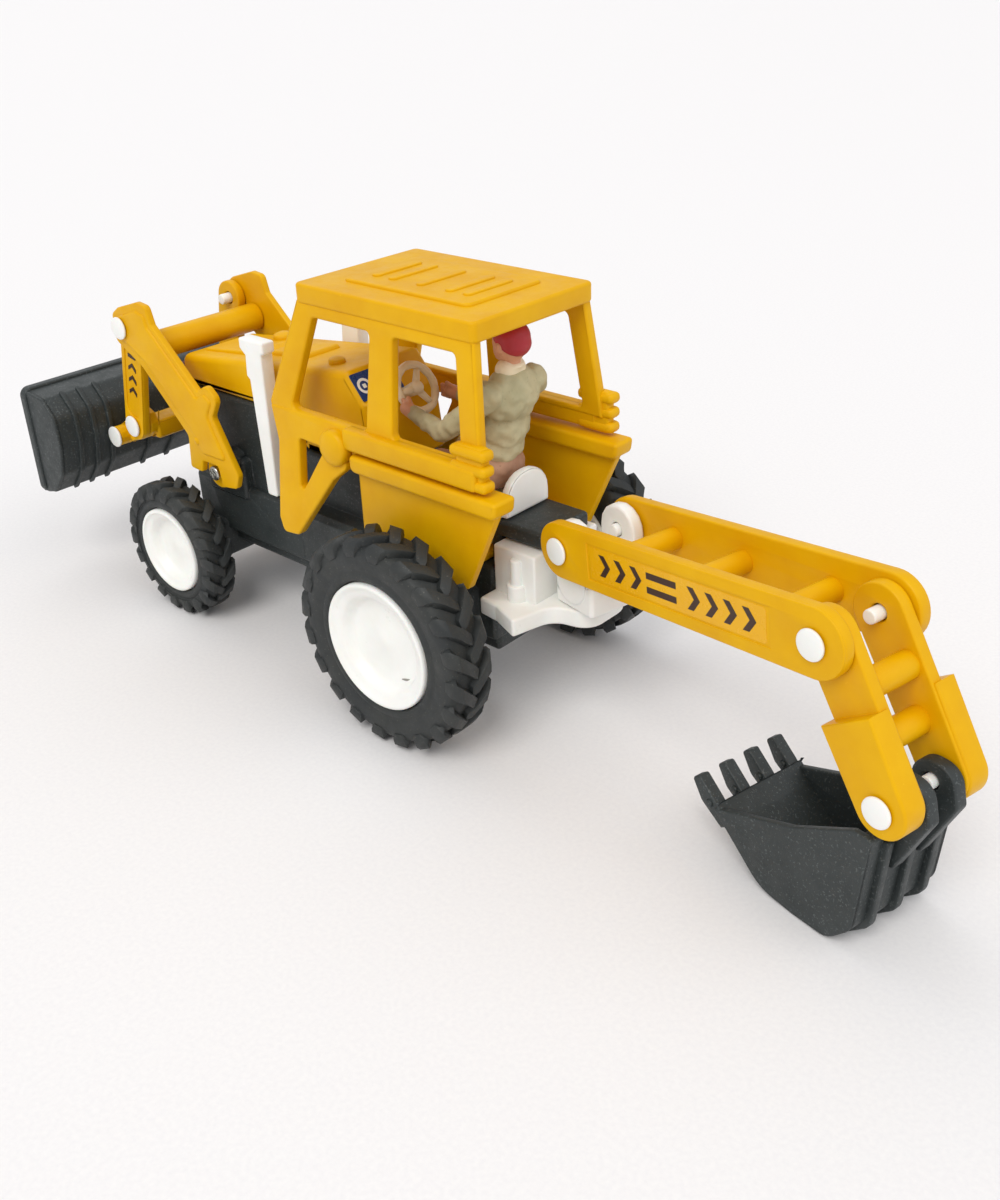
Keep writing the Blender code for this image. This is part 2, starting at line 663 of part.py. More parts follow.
def build_loader_arm(name, side):
    """A flat arm with a lug on its top edge and a forked foot round the pivot screw."""
    arm = plate(rounded(ARM_OUTLINE, 2), ARM_Y, edge=0.6)
    eye = rod(LOADER_PIVOT, 17.5, ARM_Y[0] + 0.8, 5.2, sides=18)
    notch = rod(LOADER_PIVOT, ARM_Y[0] + 0.2, ARM_Y[1] + 1, 2.9, sides=16)
    bore = rod(LOADER_PIVOT, 16, ARM_Y[1], 1.2 + GAP, sides=12)
    upper_hole = pin_hole(LOADER_UPPER, ARM_Y)
    socket = rod(TUBE_CENTRE, ARM_Y[0] - 1, ARM_Y[0] + 1.0, TUBE_R - 1.8, sides=18)
    body = joined(arm, [eye], [notch, bore, upper_hole, socket])
    piece(f"loader_arm_{name}", on_side(body, side), YELLOW_PLASTIC, LIFT_AXIS)


def build_cross_tube():
    """The round tube between the arms, with a spigot in a socket of each."""
    tube = rod(TUBE_CENTRE, -ARM_Y[0] + GAP, ARM_Y[0] - GAP, TUBE_R, sides=20)
    reach = ARM_Y[0] + 0.6
    spigot = rod(TUBE_CENTRE, -reach, reach, TUBE_R - 1.8 - GAP, sides=16)
    piece("loader_cross_tube", joined(tube, [spigot]), YELLOW_PLASTIC, LIFT_AXIS)


def build_loader_link(name, side):
    """The upright link from the arm's upper pin to the tool carrier."""
    outline = strap(LOADER_UPPER, LINK_LOWER, 5.4, 4.9, 8)
    link = plate(outline, LINK_Y, edge=0.5)
    holes = [pin_hole(LOADER_UPPER, LINK_Y), pin_hole(LINK_LOWER, LINK_Y)]
    panel = plate(
        strap(
            Vector(LOADER_UPPER).lerp(Vector(LINK_LOWER), 0.24),
            Vector(LOADER_UPPER).lerp(Vector(LINK_LOWER), 0.80), 3.4, 3.4, 4,
        ),
        (LINK_Y[1] - 0.3, LINK_Y[1] + 1),
    )
    piece(f"loader_link_{name}", on_side(joined(link, [], [*holes, panel]), side),
          YELLOW_PLASTIC, LINK_AXIS)


def build_carrier():
    """The tool carrier: a lug plate on each side and the beam between them."""
    beam = box((131.5, 140.5), (-15, 15), (46.8, 53.0), 0.8)
    lugs = []
    for _, side in SIDES:
        lug = plate(strap(LINK_LOWER, BUCKET_TILT, 4.9, 3.4, 5), CARRIER_Y, edge=0.5)
        cheek = rod(BUCKET_TILT, CARRIER_Y[0] + 1, LINK_Y[1], 3.3, sides=12)
        lugs.append(on_side(joined(lug, [cheek]), side))
    holes = [
        rod(LINK_LOWER, *sorted((side * 12.5, side * 22)), PIN_R + GAP, sides=12)
        for _, side in SIDES
    ] + [
        rod(BUCKET_TILT, *sorted((side * 12.5, side * 22)), PIN_R + GAP, sides=12)
        for _, side in SIDES
    ]
    piece("loader_carrier", joined(beam, lugs, holes), YELLOW_PLASTIC, CARRIER_AXIS)


BUCKET_BACK = [
    (170.4, 26.6, 0), (162.0, 28.2, 3), (155.5, 36.0, 4), (152.9, 46.0, 6), (153.2, 56.0, 5),
    (158.6, 61.6, 3), (169.6, 62.6, 0),
]
BUCKET_WALL = 1.8


def offset_profile(outline, distance):
    """The outline moved inwards, for an outline that runs clockwise."""
    moved = []
    for i, here in enumerate(outline):
        before = Vector(outline[max(i - 1, 0)])
        after = Vector(outline[min(i + 1, len(outline) - 1)])
        along = (after - before).normalized()
        moved.append(Vector(here) + distance * Vector((along.y, -along.x)))
    return moved


def build_loader_bucket():
    """A wide curved shell with end plates, ribs down its back and two pivot ears."""
    half = LOADER_HALF
    back = rounded(BUCKET_BACK)
    inner = offset_profile(back, BUCKET_WALL)
    inner[0] = inner[0] + Vector((3, 0))
    inner[-1] = inner[-1] + Vector((3, 0))
    solid = plate(back, (-half, half), edge=0.0)
    hollow = plate(inner, (-half + BUCKET_WALL, half - BUCKET_WALL))
    ribs = []
    for y in (-30, -20, -5, 5, 20, 30):
        rib = plate(offset_profile(back, -0.9)[3:-3], (y - 0.7, y + 0.7))
        ribs.append(rib)
    lips = []
    for _, side in SIDES:
        lip = box((167.6, 171.2), sorted((side * (half - 0.6), side * (half + 0.7))),
                  (26.2, 63.2), 0.5)
        lips.append(lip)
    top_lip = box((166.5, 171.0), (-half - 0.4, half + 0.4), (61.2, 63.6), 0.6)
    ears = []
    for _, side in SIDES:
        ear = plate(
            [(BUCKET_TILT[0] + 3.1 * math.cos(t), BUCKET_TILT[1] + 3.1 * math.sin(t))
             for t in [math.radians(70 + 22 * k) for k in range(11)]]
            + [(154.5, BUCKET_TILT[1] - 4.5), (154.5, BUCKET_TILT[1] + 4.5)],
            sorted((side * BUCKET_EAR_Y[0], side * BUCKET_EAR_Y[1])),
        )
        ears.append(ear)
    holes = [
        rod(BUCKET_TILT, *sorted((side * 9, side * 15)), PIN_R + GAP, sides=12)
        for _, side in SIDES
    ]
    shell = joined(solid, ribs + lips + [top_lip], [hollow])
    piece("loader_bucket", joined(shell, ears, holes), DARK_PLASTIC, BUCKET_AXIS)


def build_loader_pins():
    upper_cap = ARM_Y[1] + GAP + 1.1
    lower_cap = LINK_Y[1] + GAP + 1.1
    for name, side in SIDES:
        upper = pin(LOADER_UPPER, upper_cap, LINK_Y[0] - 3.0)
        lower = pin(LINK_LOWER, lower_cap, CARRIER_Y[0] + 0.5)
        tilt = pin(BUCKET_TILT, lower_cap, BUCKET_EAR_Y[0] - 0.5)
        piece(f"loader_upper_pin_{name}", on_side(upper, side), WHITE_PLASTIC, LIFT_AXIS)
        piece(f"loader_link_pin_{name}", on_side(lower, side), WHITE_PLASTIC, LINK_AXIS)
        piece(f"loader_bucket_pin_{name}", on_side(tilt, side), WHITE_PLASTIC, CARRIER_AXIS)
        head = rod(LOADER_PIVOT, ARM_Y[0] + 0.5, ARM_Y[0] + 2.2, 2.3, sides=18, edge=0.4)
        shank = rod(LOADER_PIVOT, 11.0, ARM_Y[0] + 1.0, 1.2, sides=12)
        slots = [
            box((LOADER_PIVOT[0] - a, LOADER_PIVOT[0] + a), (ARM_Y[0] + 1.6, ARM_Y[0] + 3),
                (LOADER_PIVOT[1] - b, LOADER_PIVOT[1] + b))
            for a, b in ((1.4, 0.3), (0.3, 1.4))
        ]
        screw = joined(head, [shank], slots)
        piece(f"loader_pivot_screw_{name}", on_side(screw, side), STEEL, VEHICLE)


# ---------------------------------------------------------------- backhoe

def build_stabiliser():
    """The white bracket behind the chassis: a block, two wings and the tongue for the swing post."""
    block = box(STABILISER_X, (-13, 13), STABILISER_Z, 0.6)
    half = [(-13.6, 18.6, 1), (-20.1, 19.4, 2), (-28.7, 22.9, 0.8), (-31.6, 10.5, 6),
            (-42.4, 8.2, 6)]
    whole = half + [(x, -y, radius) for x, y, radius in reversed(half)]
    wing = plate(rounded(whole, 5), (33.6, 38.6), axis="Z", edge=0.6)
    posts = [
        rod((-22, side * 13.2), 38, 50, 1.6, axis="Z", sides=12) for _, side in SIDES
    ]
    collars = [
        rod((-22, side * 13.2), 38, 43, 2.6, axis="Z", sides=12) for _, side in SIDES
    ]
    hole = rod((SWING_X, 0), 30, 42, 2.3 + GAP, axis="Z", sides=14)
    piece("stabiliser", joined(block, [wing, *posts, *collars], [hole]), WHITE_PLASTIC, VEHICLE)


def build_swing_bracket():
    """The white head that turns on the tongue and holds the boom between two round ears."""
    base = box((-47, -32.6), (-9.0, 9.0), (38.6 + GAP, 48), 0.8)
    ears = []
    for _, side in SIDES:
        ear = plate(strap(BOOM_PIVOT, (BOOM_PIVOT[0], 46.5), 6.6, 6.0, 8),
                    sorted((side * 5.8, side * 9.4)), edge=0.5)
        ears.append(ear)
    post = rod((SWING_X, 0), 34.2, 41, 2.3, axis="Z", sides=14)
    nub = rod((SWING_X, 0), 46, 52.5, 3.0, axis="Z", sides=14, edge=0.6)
    holes = [pin_hole(BOOM_PIVOT, sorted((side * 5, side * 10))) for _, side in SIDES]
    piece("swing_bracket", joined(base, [*ears, post, nub], holes), WHITE_PLASTIC, SWING_AXIS)


BOOM_TUBES = ((-56, 59.5), (-79, 62.2), (-105, 65.8))


def build_boom(name, side):
    """A long side plate; the right one carries the tubes that space the two apart."""
    body = plate(strap(BOOM_PIVOT, ELBOW, 7.3, 7.9), BOOM_Y, edge=0.7)
    holes = [pin_hole(BOOM_PIVOT, BOOM_Y), pin_hole(ELBOW, BOOM_Y)]
    start = Vector(BOOM_PIVOT).lerp(Vector(ELBOW), 0.14)
    end = Vector(BOOM_PIVOT).lerp(Vector(ELBOW), 0.86)
    across = (end - start).orthogonal().normalized() * 4.6
    panel = plate([start + across, end + across, end - across, start - across],
                  (BOOM_Y[1] - 0.3, BOOM_Y[1] + 1))
    tubes = []
    if side < 0:
        tubes = [rod(at, -BOOM_Y[0] + GAP, BOOM_Y[0] + 0.5, 2.9, sides=16) for at in BOOM_TUBES]
    body = joined(body, tubes, [*holes, panel])
    piece(f"boom_{name}", on_side(body, side), YELLOW_PLASTIC, BOOM_AXIS)


def build_stick(name, side):
    """The dipper plate: thin where it runs inside the boom, thicker below a step."""
    elbow, tip = Vector(ELBOW), Vector(BACK_TILT)
    step = elbow.lerp(tip, 0.47)
    upper = plate(strap(elbow, tip, 6.6, 6.0), STICK_Y, edge=0.5)
    across = (tip - elbow).orthogonal().normalized()
    lower_outline = strap(step, tip, 6.9, 6.4)
    lower = plate(lower_outline, (STICK_Y[0] + 0.5, BOOM_Y[1]), edge=0.6)
    behind = step - (tip - elbow).normalized() * 10
    square = plate([step + across * 12, step - across * 12, behind - across * 12,
                    behind + across * 12], (STICK_Y[1] + 0.02, BOOM_Y[1] + 1))
    lower = joined(lower, [], [square])
    tubes = []
    if side < 0:
        places = (elbow.lerp(tip, 0.33) - across * 2.4, elbow.lerp(tip, 0.66) + across * 0.5)
        tubes = [rod(at, -STICK_Y[0] + GAP, STICK_Y[0] + 0.5, 3.2, sides=16) for at in places]
    holes = [pin_hole(ELBOW, STICK_Y), pin_hole(BACK_TILT, (STICK_Y[0], BOOM_Y[1]))]
    body = joined(upper, [lower, *tubes], holes)
    piece(f"stick_{name}", on_side(body, side), YELLOW_PLASTIC, STICK_AXIS)


BACK_HALF = 14.0
BACK_PROFILE = [
    (-96.4, 13.6, 0), (-101.5, 9.8, 0), (-112.0, 1.0, 4), (-121.0, 0.1, 6),
    (-131.5, 0.3, 5), (-137.2, 6.5, 5), (-138.4, 22.0, 6), (-139.2, 31.8, 1.0),
    (-134.8, 31.8, 1.0), (-119.5, 22.8, 0),
]


def build_backhoe_bucket():
    """A deep scoop with four hooked teeth, ribs round its back and two tall ears."""
    outline = rounded(BACK_PROFILE)
    solid = plate(outline, (-BACK_HALF, BACK_HALF))
    inner_corners = [
        (-97.2, 15.6, 0), (-102.0, 12.2, 0), (-112.3, 3.2, 4), (-121.0, 2.2, 5),
        (-130.8, 2.4, 5), (-135.2, 7.4, 4), (-136.4, 21.6, 5), (-136.9, 29.0, 0.8),
        (-131.0, 42.0, 0), (-105, 40, 0),
    ]
    hollow = plate(rounded(inner_corners), (-BACK_HALF + 1.7, BACK_HALF - 1.7))
    teeth = []
    for k in range(4):
        y = 12.0 - 8.0 * k
        tooth = plate(
            rounded([(-91.4, 19.6, 0.6), (-89.2, 18.0, 0.8), (-92.4, 13.2, 3), (-99.0, 9.2, 0),
                     (-101.5, 11.0, 0), (-96.6, 15.4, 2)], 3),
            (y - 1.6, y + 1.6),
        )
        teeth.append(tooth)
    ribs = []
    for y in (-8.5, 0, 8.5):
        rib = plate(
            rounded([(-124, 0.05, 0), (-132.4, 0.05, 5), (-138.7, 6.0, 5), (-139.9, 22.0, 4),
                     (-140.6, 30.0, 0.8), (-138, 29, 0), (-137.2, 9, 3), (-129, 1.4, 3)], 3),
            (y - 1.0, y + 1.0),
        )
        ribs.append(rib)
    ears = []
    for _, side in SIDES:
        x, z = BACK_TILT
        ear = plate(
            rounded([(x + 4.7, z - 8.6, 1), (x + 4.7, z + 4.7, 4.6), (x - 4.9, z + 4.7, 4.8),
                     (x - 7.0, z - 3.3, 2.0), (x + 0.6, z - 20, 1)], 4),
            sorted((side * 2.6, side * 6.0)), edge=0.4,
        )
        ears.append(ear)
    holes = [
        rod(BACK_TILT, *sorted((side * 1.5, side * 8)), PIN_R + GAP, sides=12)
        for _, side in SIDES
    ]
    shell = joined(solid, teeth + ribs, [hollow])
    piece("backhoe_bucket", joined(shell, ears, holes), DARK_PLASTIC, BACK_BUCKET_AXIS)


def build_backhoe_pins():
    cap_y = BOOM_Y[1] + GAP + 1.1
    for name, side in SIDES:
        pivot = pin(BOOM_PIVOT, cap_y, 4.5)
        elbow = pin(ELBOW, cap_y, 3.4)
        tip = pin(BACK_TILT, cap_y, 1.2)
        piece(f"boom_pivot_pin_{name}", on_side(pivot, side), WHITE_PLASTIC, BOOM_AXIS)
        piece(f"elbow_pin_{name}", on_side(elbow, side), WHITE_PLASTIC, BOOM_AXIS)
        piece(f"stick_pin_{name}", on_side(tip, side), WHITE_PLASTIC, STICK_AXIS)


def build():
    build_chassis()
    build_hood()
    build_grille()
    build_rear_body()
    build_cab()
    build_exhausts()
    build_seat()
    build_steering_wheel()
    build_driver()
    build_wheels("front", WHEELBASE, FRONT_TYRE_R, FRONT_RIM_R, FRONT_OUTER_Y, FRONT_WIDTH,
                 FRONT_AXIS)
    build_wheels("rear", 0, REAR_TYRE_R, REAR_RIM_R, REAR_OUTER_Y, REAR_WIDTH, REAR_AXIS)
    for name, side in SIDES:
        build_loader_arm(name, side)
        build_loader_link(name, side)
        build_boom(name, side)
        build_stick(name, side)
    build_cross_tube()
    build_carrier()
    build_loader_bucket()
    build_loader_pins()
    build_stabiliser()
    build_swing_bracket()
    build_backhoe_bucket()
    build_backhoe_pins()


build()
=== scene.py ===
"""Looks of a toy backhoe loader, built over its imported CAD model.

Lengths in the tables are millimetres in the design frame: +X to the loader, +Y to the driver's
left, the ground at z = 0 and the rear axle above x = 0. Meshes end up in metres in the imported
model's frame.
"""

import json
import math

import bmesh
import bpy
from mathutils import Matrix, Vector, noise

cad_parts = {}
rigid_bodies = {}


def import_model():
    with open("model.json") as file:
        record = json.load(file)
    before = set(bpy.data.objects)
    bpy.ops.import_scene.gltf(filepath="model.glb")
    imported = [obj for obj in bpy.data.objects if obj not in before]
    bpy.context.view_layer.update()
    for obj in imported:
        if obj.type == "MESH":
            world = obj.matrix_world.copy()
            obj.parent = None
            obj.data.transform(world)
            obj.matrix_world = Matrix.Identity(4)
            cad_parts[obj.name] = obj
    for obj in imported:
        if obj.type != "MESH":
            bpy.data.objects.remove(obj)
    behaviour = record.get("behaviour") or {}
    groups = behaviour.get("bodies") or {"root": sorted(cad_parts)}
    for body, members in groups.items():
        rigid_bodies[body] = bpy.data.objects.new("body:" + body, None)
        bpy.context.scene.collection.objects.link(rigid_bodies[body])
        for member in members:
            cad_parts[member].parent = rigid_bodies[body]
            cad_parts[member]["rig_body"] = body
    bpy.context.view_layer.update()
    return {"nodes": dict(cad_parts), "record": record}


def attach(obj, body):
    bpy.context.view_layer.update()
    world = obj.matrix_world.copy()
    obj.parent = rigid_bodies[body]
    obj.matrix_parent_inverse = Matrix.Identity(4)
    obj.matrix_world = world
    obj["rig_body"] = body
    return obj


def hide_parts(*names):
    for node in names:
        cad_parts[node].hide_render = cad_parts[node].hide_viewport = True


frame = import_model()
NODES = frame["nodes"]
SLOT_OF = {row["node"]: row["material_slot"] for row in frame["record"]["subparts"]}

MM = 0.001
FULL_TURN = 2 * math.pi
CENTRE_X = 12.7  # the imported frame's origin, in the design frame
TO_WORLD = Matrix.Scale(MM, 4) @ Matrix.Translation((-CENTRE_X, 0, 0))
SWING_X = -36.0  # the post that the backhoe swings on
SWING_DEGREES = -12.6
SWING = (
    Matrix.Translation((SWING_X, 0, 0))
    @ Matrix.Rotation(math.radians(SWING_DEGREES), 4, "Z")
    @ Matrix.Translation((-SWING_X, 0, 0))
)
SIDES = (("left", 1), ("right", -1))


# ---- materials

def rgb(red, green, blue):
    """A linear colour from screen values of 0 to 255."""
    return tuple(
        c / 12.92 if c <= 0.04045 else ((c + 0.055) / 1.055) ** 2.4
        for c in (red / 255, green / 255, blue / 255)
    )


class Nodes:
    """Builds one node material."""

    def __init__(self, name):
        self.material = bpy.data.materials.new(name)
        self.material.use_nodes = True
        self.tree = self.material.node_tree
        self.shader = self.tree.nodes["Principled BSDF"]
        self.place = self.tree.nodes.new("ShaderNodeTexCoord").outputs["Object"]

    def link(self, source, target):
        self.tree.links.new(source, target)

    def noise(self, scale, detail=3.0, rough=0.55):
        node = self.tree.nodes.new("ShaderNodeTexNoise")
        for name, number in (("Scale", scale), ("Detail", detail), ("Roughness", rough)):
            node.inputs[name].default_value = number
        self.link(self.place, node.inputs["Vector"])
        return node.outputs["Fac"]

    def spread(self, value, low, high, to_low, to_high):
        """The value with low to high mapped onto to_low to to_high."""
        node = self.tree.nodes.new("ShaderNodeMapRange")
        for name, number in (("From Min", low), ("From Max", high), ("To Min", to_low),
                             ("To Max", to_high)):
            node.inputs[name].default_value = number
        self.link(value, node.inputs["Value"])
        return node.outputs["Result"]

    def mix(self, factor, a, b):
        """A colour between a and b, each a linear colour or another node's output."""
        node = self.tree.nodes.new("ShaderNodeMix")
        node.data_type = "RGBA"
        self.link(factor, node.inputs["Factor"])
        for socket, value in (("A", a), ("B", b)):
            target = [s for s in node.inputs if s.name == socket and s.type == "RGBA"][0]
            if isinstance(value, tuple):
                target.default_value = (*value, 1.0)
            else:
                self.link(value, target)
        return [s for s in node.outputs if s.type == "RGBA"][0]

    def bump(self, height, strength, distance, before=None):
        node = self.tree.nodes.new("ShaderNodeBump")
        node.inputs["Strength"].default_value = strength
        node.inputs["Distance"].default_value = distance
        self.link(height, node.inputs["Height"])
        if before is not None:
            self.link(before, node.inputs["Normal"])
        return node.outputs["Normal"]


# Noise scales, in cycles per metre or so.
TINT_SCALE, WAVE_SCALE, GLOSS_SCALE, SPECK_SCALE, GRAIN_SCALE = 70, 110, 260, 1500, 3200
WAVE_HEIGHT, GRAIN_HEIGHT = 0.0006, 0.00008  # metres
SPECK_EDGE, SPECK_COVER = 0.07, 0.55
GLOSSIER, DULLER = 0.09, 0.13  # how far roughness strays from its mean


def moulded(name, base, tint, speck, roughness, grain=0.25, specks=0.70, coat=0.0, wave=0.12,
            spread=0.6, metallic=0.0, subsurface=0.0, specular=0.5):
    """A moulded surface: slow colour change, fine specks of dust, shrink waves and a fine grain."""
    base, tint, speck = rgb(*base), rgb(*tint), rgb(*speck)
    made = Nodes(name)
    slow = made.spread(made.noise(TINT_SCALE, 4.0), 0.35, 0.68, 0.0, spread)
    fine = made.spread(
        made.noise(SPECK_SCALE, 2.0, 0.7), specks, specks + SPECK_EDGE, 0.0, SPECK_COVER
    )
    colour = made.mix(fine, made.mix(slow, base, tint), speck)
    rough = made.spread(
        made.noise(GLOSS_SCALE, 5.0, 0.65), 0.3, 0.72, roughness - GLOSSIER, roughness + DULLER
    )
    waves = made.bump(made.noise(WAVE_SCALE, 2.0), wave, WAVE_HEIGHT)
    grains = made.bump(made.noise(GRAIN_SCALE, 2.0, 0.6), grain, GRAIN_HEIGHT, waves)
    for socket, output in (("Base Color", colour), ("Roughness", rough), ("Normal", grains)):
        made.link(output, made.shader.inputs[socket])
    for socket, number in (
        ("Metallic", metallic), ("Specular IOR Level", specular), ("Coat Weight", coat),
        ("Coat Roughness", 0.25), ("Subsurface Weight", subsurface), ("Subsurface Scale", 0.0012),
    ):
        made.shader.inputs[socket].default_value = number
    return made.material


YELLOW = moulded("yellow_plastic", (230, 176, 0), (216, 154, 0), (240, 196, 40), 0.42,
                 grain=0.2, coat=0.02, specular=0.16)
DARK = moulded("dark_plastic", (46, 52, 52), (34, 40, 40), (98, 104, 103), 0.50,
               grain=0.55, specks=0.60)
WHITE = moulded("white_plastic", (247, 247, 243), (236, 235, 228), (206, 198, 182), 0.36,
                specks=0.78, grain=0.12, coat=0.1, subsurface=0.08)
RED = moulded("grille_plastic", (120, 36, 20), (92, 24, 14), (150, 70, 50), 0.5)
CREAM = moulded("cream_plastic", (242, 228, 198), (226, 206, 168), (180, 150, 110), 0.5,
                specks=0.72)
RUBBER = moulded("tyre_rubber", (36, 40, 41), (50, 52, 49), (104, 102, 92), 0.58,
                 grain=0.6, specks=0.66, wave=0.2, spread=0.75)
STEEL = moulded("steel", (196, 196, 190), (150, 148, 140), (90, 86, 80), 0.28,
                metallic=1.0, specks=0.72)
SKIN = moulded("painted_skin", (214, 158, 122), (196, 132, 98), (150, 90, 64), 0.5,
               specks=0.74)
SHIRT = moulded("painted_shirt", (206, 196, 158), (164, 158, 122), (120, 108, 80), 0.62,
                specks=0.66, wave=0.6, spread=1.0, grain=0.5)
TROUSERS = moulded("painted_trousers", (190, 148, 120), (146, 104, 84), (100, 70, 56),
                   0.62, specks=0.68, wave=0.5, spread=1.0)
CAP = moulded("painted_cap", (176, 38, 48), (140, 24, 36), (214, 110, 110), 0.5,
              specks=0.72)
BOOTS = moulded("painted_boots", (52, 40, 34), (34, 28, 26), (96, 84, 72), 0.5)
INK = moulded("label_ink", (62, 34, 14), (44, 26, 14), (120, 84, 30), 0.42)
BLUE = moulded("label_blue", (20, 62, 122), (14, 48, 100), (90, 130, 180), 0.3)
FILM = moulded("label_film", (236, 178, 6), (226, 162, 4), (246, 200, 60), 0.24, grain=0.05,
               specular=0.35)
# Grey for thin sheets on the rear rims: painted shade in their moulded slots.
SLOT_PAINTED_SHADE = moulded("slot_shade", (150, 148, 140), (112, 110, 104), (90, 88, 82), 0.6)
BY_SLOT = {
    "yellow_plastic": YELLOW, "dark_plastic": DARK, "white_plastic": WHITE,
    "dark_red_plastic": RED, "cream_plastic": CREAM, "tyre_rubber": RUBBER, "steel": STEEL,
}


# ---- pieces

def placed(name, data):
    """A new object in the scene."""
    obj = bpy.data.objects.new(name, data)
    bpy.context.scene.collection.objects.link(obj)
    return obj


def shown(name, mesh, finish, body, replaced=()):
    """Puts a finished mesh in the scene, to ride on a CAD body."""
    obj = placed(name, mesh)
    mesh.materials.clear()
    mesh.materials.append(finish)
    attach(obj, body)
    if replaced:
        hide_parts(*replaced)


def shown_for(node, mesh):
    """Shows a mesh in place of one CAD node, in that node's material."""
    slot = SLOT_OF[node]
    shown(f"{node}_skin", mesh, BY_SLOT[slot], NODES[node]["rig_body"], [node])


def applied(mesh, *steps):
    """The mesh after (kind, settings) modifiers."""
    obj = placed("work", mesh)
    for kind, settings in steps:
        step = obj.modifiers.new(kind, kind)
        for key, value in settings.items():
            setattr(step, key, value)
    bpy.context.view_layer.update()
    graph = bpy.context.evaluated_depsgraph_get()
    made = bpy.data.meshes.new_from_object(
        obj.evaluated_get(graph), preserve_all_data_layers=True, depsgraph=graph
    )
    bpy.data.objects.remove(obj, do_unlink=True)
    return made


def mesh_of(bm, smooth=True):
    """The shape with every face turned outwards."""
    mesh = bpy.data.meshes.new("shape")
    bmesh.ops.recalc_face_normals(bm, faces=bm.faces)
    bm.to_mesh(mesh)
    bm.free()
    if smooth:
        mesh.shade_smooth()
    return mesh


def smooth_mesh(bm, sharp=None):
    """The shape as it stands, shaded smooth but for edges sharper than so many degrees."""
    mesh = bpy.data.meshes.new("shape")
    bm.to_mesh(mesh)
    bm.free()
    mesh.shade_smooth()
    if sharp:
        mesh.set_sharp_from_angle(angle=math.radians(sharp))
    return mesh


def bevelled(mesh, width, angle=28):
    """Rounds every edge sharper than the angle, and keeps flat faces flat."""
    return applied(mesh, ("BEVEL", {
        "width": width, "segments": 3, "limit_method": "ANGLE",
        "angle_limit": math.radians(angle), "use_clamp_overlap": False, "harden_normals": True,
        "miter_outer": "MITER_ARC",
    }))


def cleaned(node):
    """A copy of a CAD node's mesh, welded, with its flat faces made whole."""
    bm = bmesh.new()
    bm.from_mesh(NODES[node].data)
    bmesh.ops.remove_doubles(bm, verts=bm.verts, dist=2e-6)
    bmesh.ops.dissolve_degenerate(bm, dist=1e-6, edges=bm.edges)
    bmesh.ops.dissolve_limit(
        bm, angle_limit=math.radians(1.2), verts=bm.verts, edges=bm.edges
    )
    return mesh_of(bm)


# CAD nodes that are shown as they are, with their edges rounded by so many millimetres.
SOFT_EDGES = {
    "chassis": 0.35, "grille": 0.2, "driver_seat": 0.4, "swing_bracket": 0.35,
    "loader_cross_tube": 0.3, "loader_carrier": 0.3, "front_axle": 0.2, "rear_axle": 0.2,
    "loader_pivot_screw_left": 0.12, "loader_pivot_screw_right": 0.12,
}


# ---- moulded plates

# Where a flat outline's two axes and its thickness go, by the axis that the thickness runs along.
AXES = {
    "X": Matrix(((0, 0, 1, 0), (1, 0, 0, 0), (0, 1, 0, 0), (0, 0, 0, 1))),
    "Y": Matrix(((1, 0, 0, 0), (0, 0, -1, 0), (0, 1, 0, 0), (0, 0, 0, 1))),
    "Z": Matrix.Identity(4),
}


def rounded(corners, steps=7):
    """Outline points from (x, y, radius) corners, each turned into an arc."""
    points = []
    for i, (x, y, radius) in enumerate(corners):
        here = Vector((x, y))
        if radius == 0:
            points.append(here)
            continue
        back = (Vector(corners[i - 1][:2]) - here).normalized()
        onward = (Vector(corners[(i + 1) % len(corners)][:2]) - here).normalized()
        half = math.acos(max(-1.0, min(1.0, back.dot(onward)))) / 2
        centre = here + (back + onward).normalized() * (radius / math.sin(half))
        first = here + back * (radius / math.tan(half)) - centre
        last = here + onward * (radius / math.tan(half)) - centre
        start = math.atan2(first.y, first.x)
        sweep = (math.atan2(last.y, last.x) - start + math.pi) % (FULL_TURN) - math.pi
        for k in range(steps + 1):
            angle = start + sweep * k / steps
            points.append(centre + radius * Vector((math.cos(angle), math.sin(angle))))
    return points


def strap(a, b, radius_a, radius_b, steps=20):
    """The outline of a plate with a round end about a and another about b."""
    a, b = Vector(a), Vector(b)
    along = math.atan2(b.y - a.y, b.x - a.x)
    spread = math.acos((radius_a - radius_b) / (b - a).length)
    points = []
    for centre, radius, first, last in (
        (b, radius_b, along - spread, along + spread),
        (a, radius_a, along + spread, along + FULL_TURN - spread),
    ):
        for k in range(steps + 1):
            angle = first + (last - first) * k / steps
            points.append(centre + radius * Vector((math.cos(angle), math.sin(angle))))
    return points


def disc(centre, radius, steps=32):
    return [(centre[0] + radius * math.cos(FULL_TURN * k / steps),
             centre[1] + radius * math.sin(FULL_TURN * k / steps)) for k in range(steps)]


def rectangle(u, v, half_u, half_v, corner=0.0, steps=4):
    if not corner:
        return [(u - half_u, v - half_v), (u + half_u, v - half_v), (u + half_u, v + half_v),
                (u - half_u, v + half_v)]
    points = []
    for cu, cv, turn in ((1, -1, -90), (1, 1, 0), (-1, 1, 90), (-1, -1, 180)):
        for k in range(steps + 1):
            t = math.radians(turn + 90 * k / steps)
            points.append((u + cu * (half_u - corner) + corner * math.cos(t),
                           v + cv * (half_v - corner) + corner * math.sin(t)))
    return points


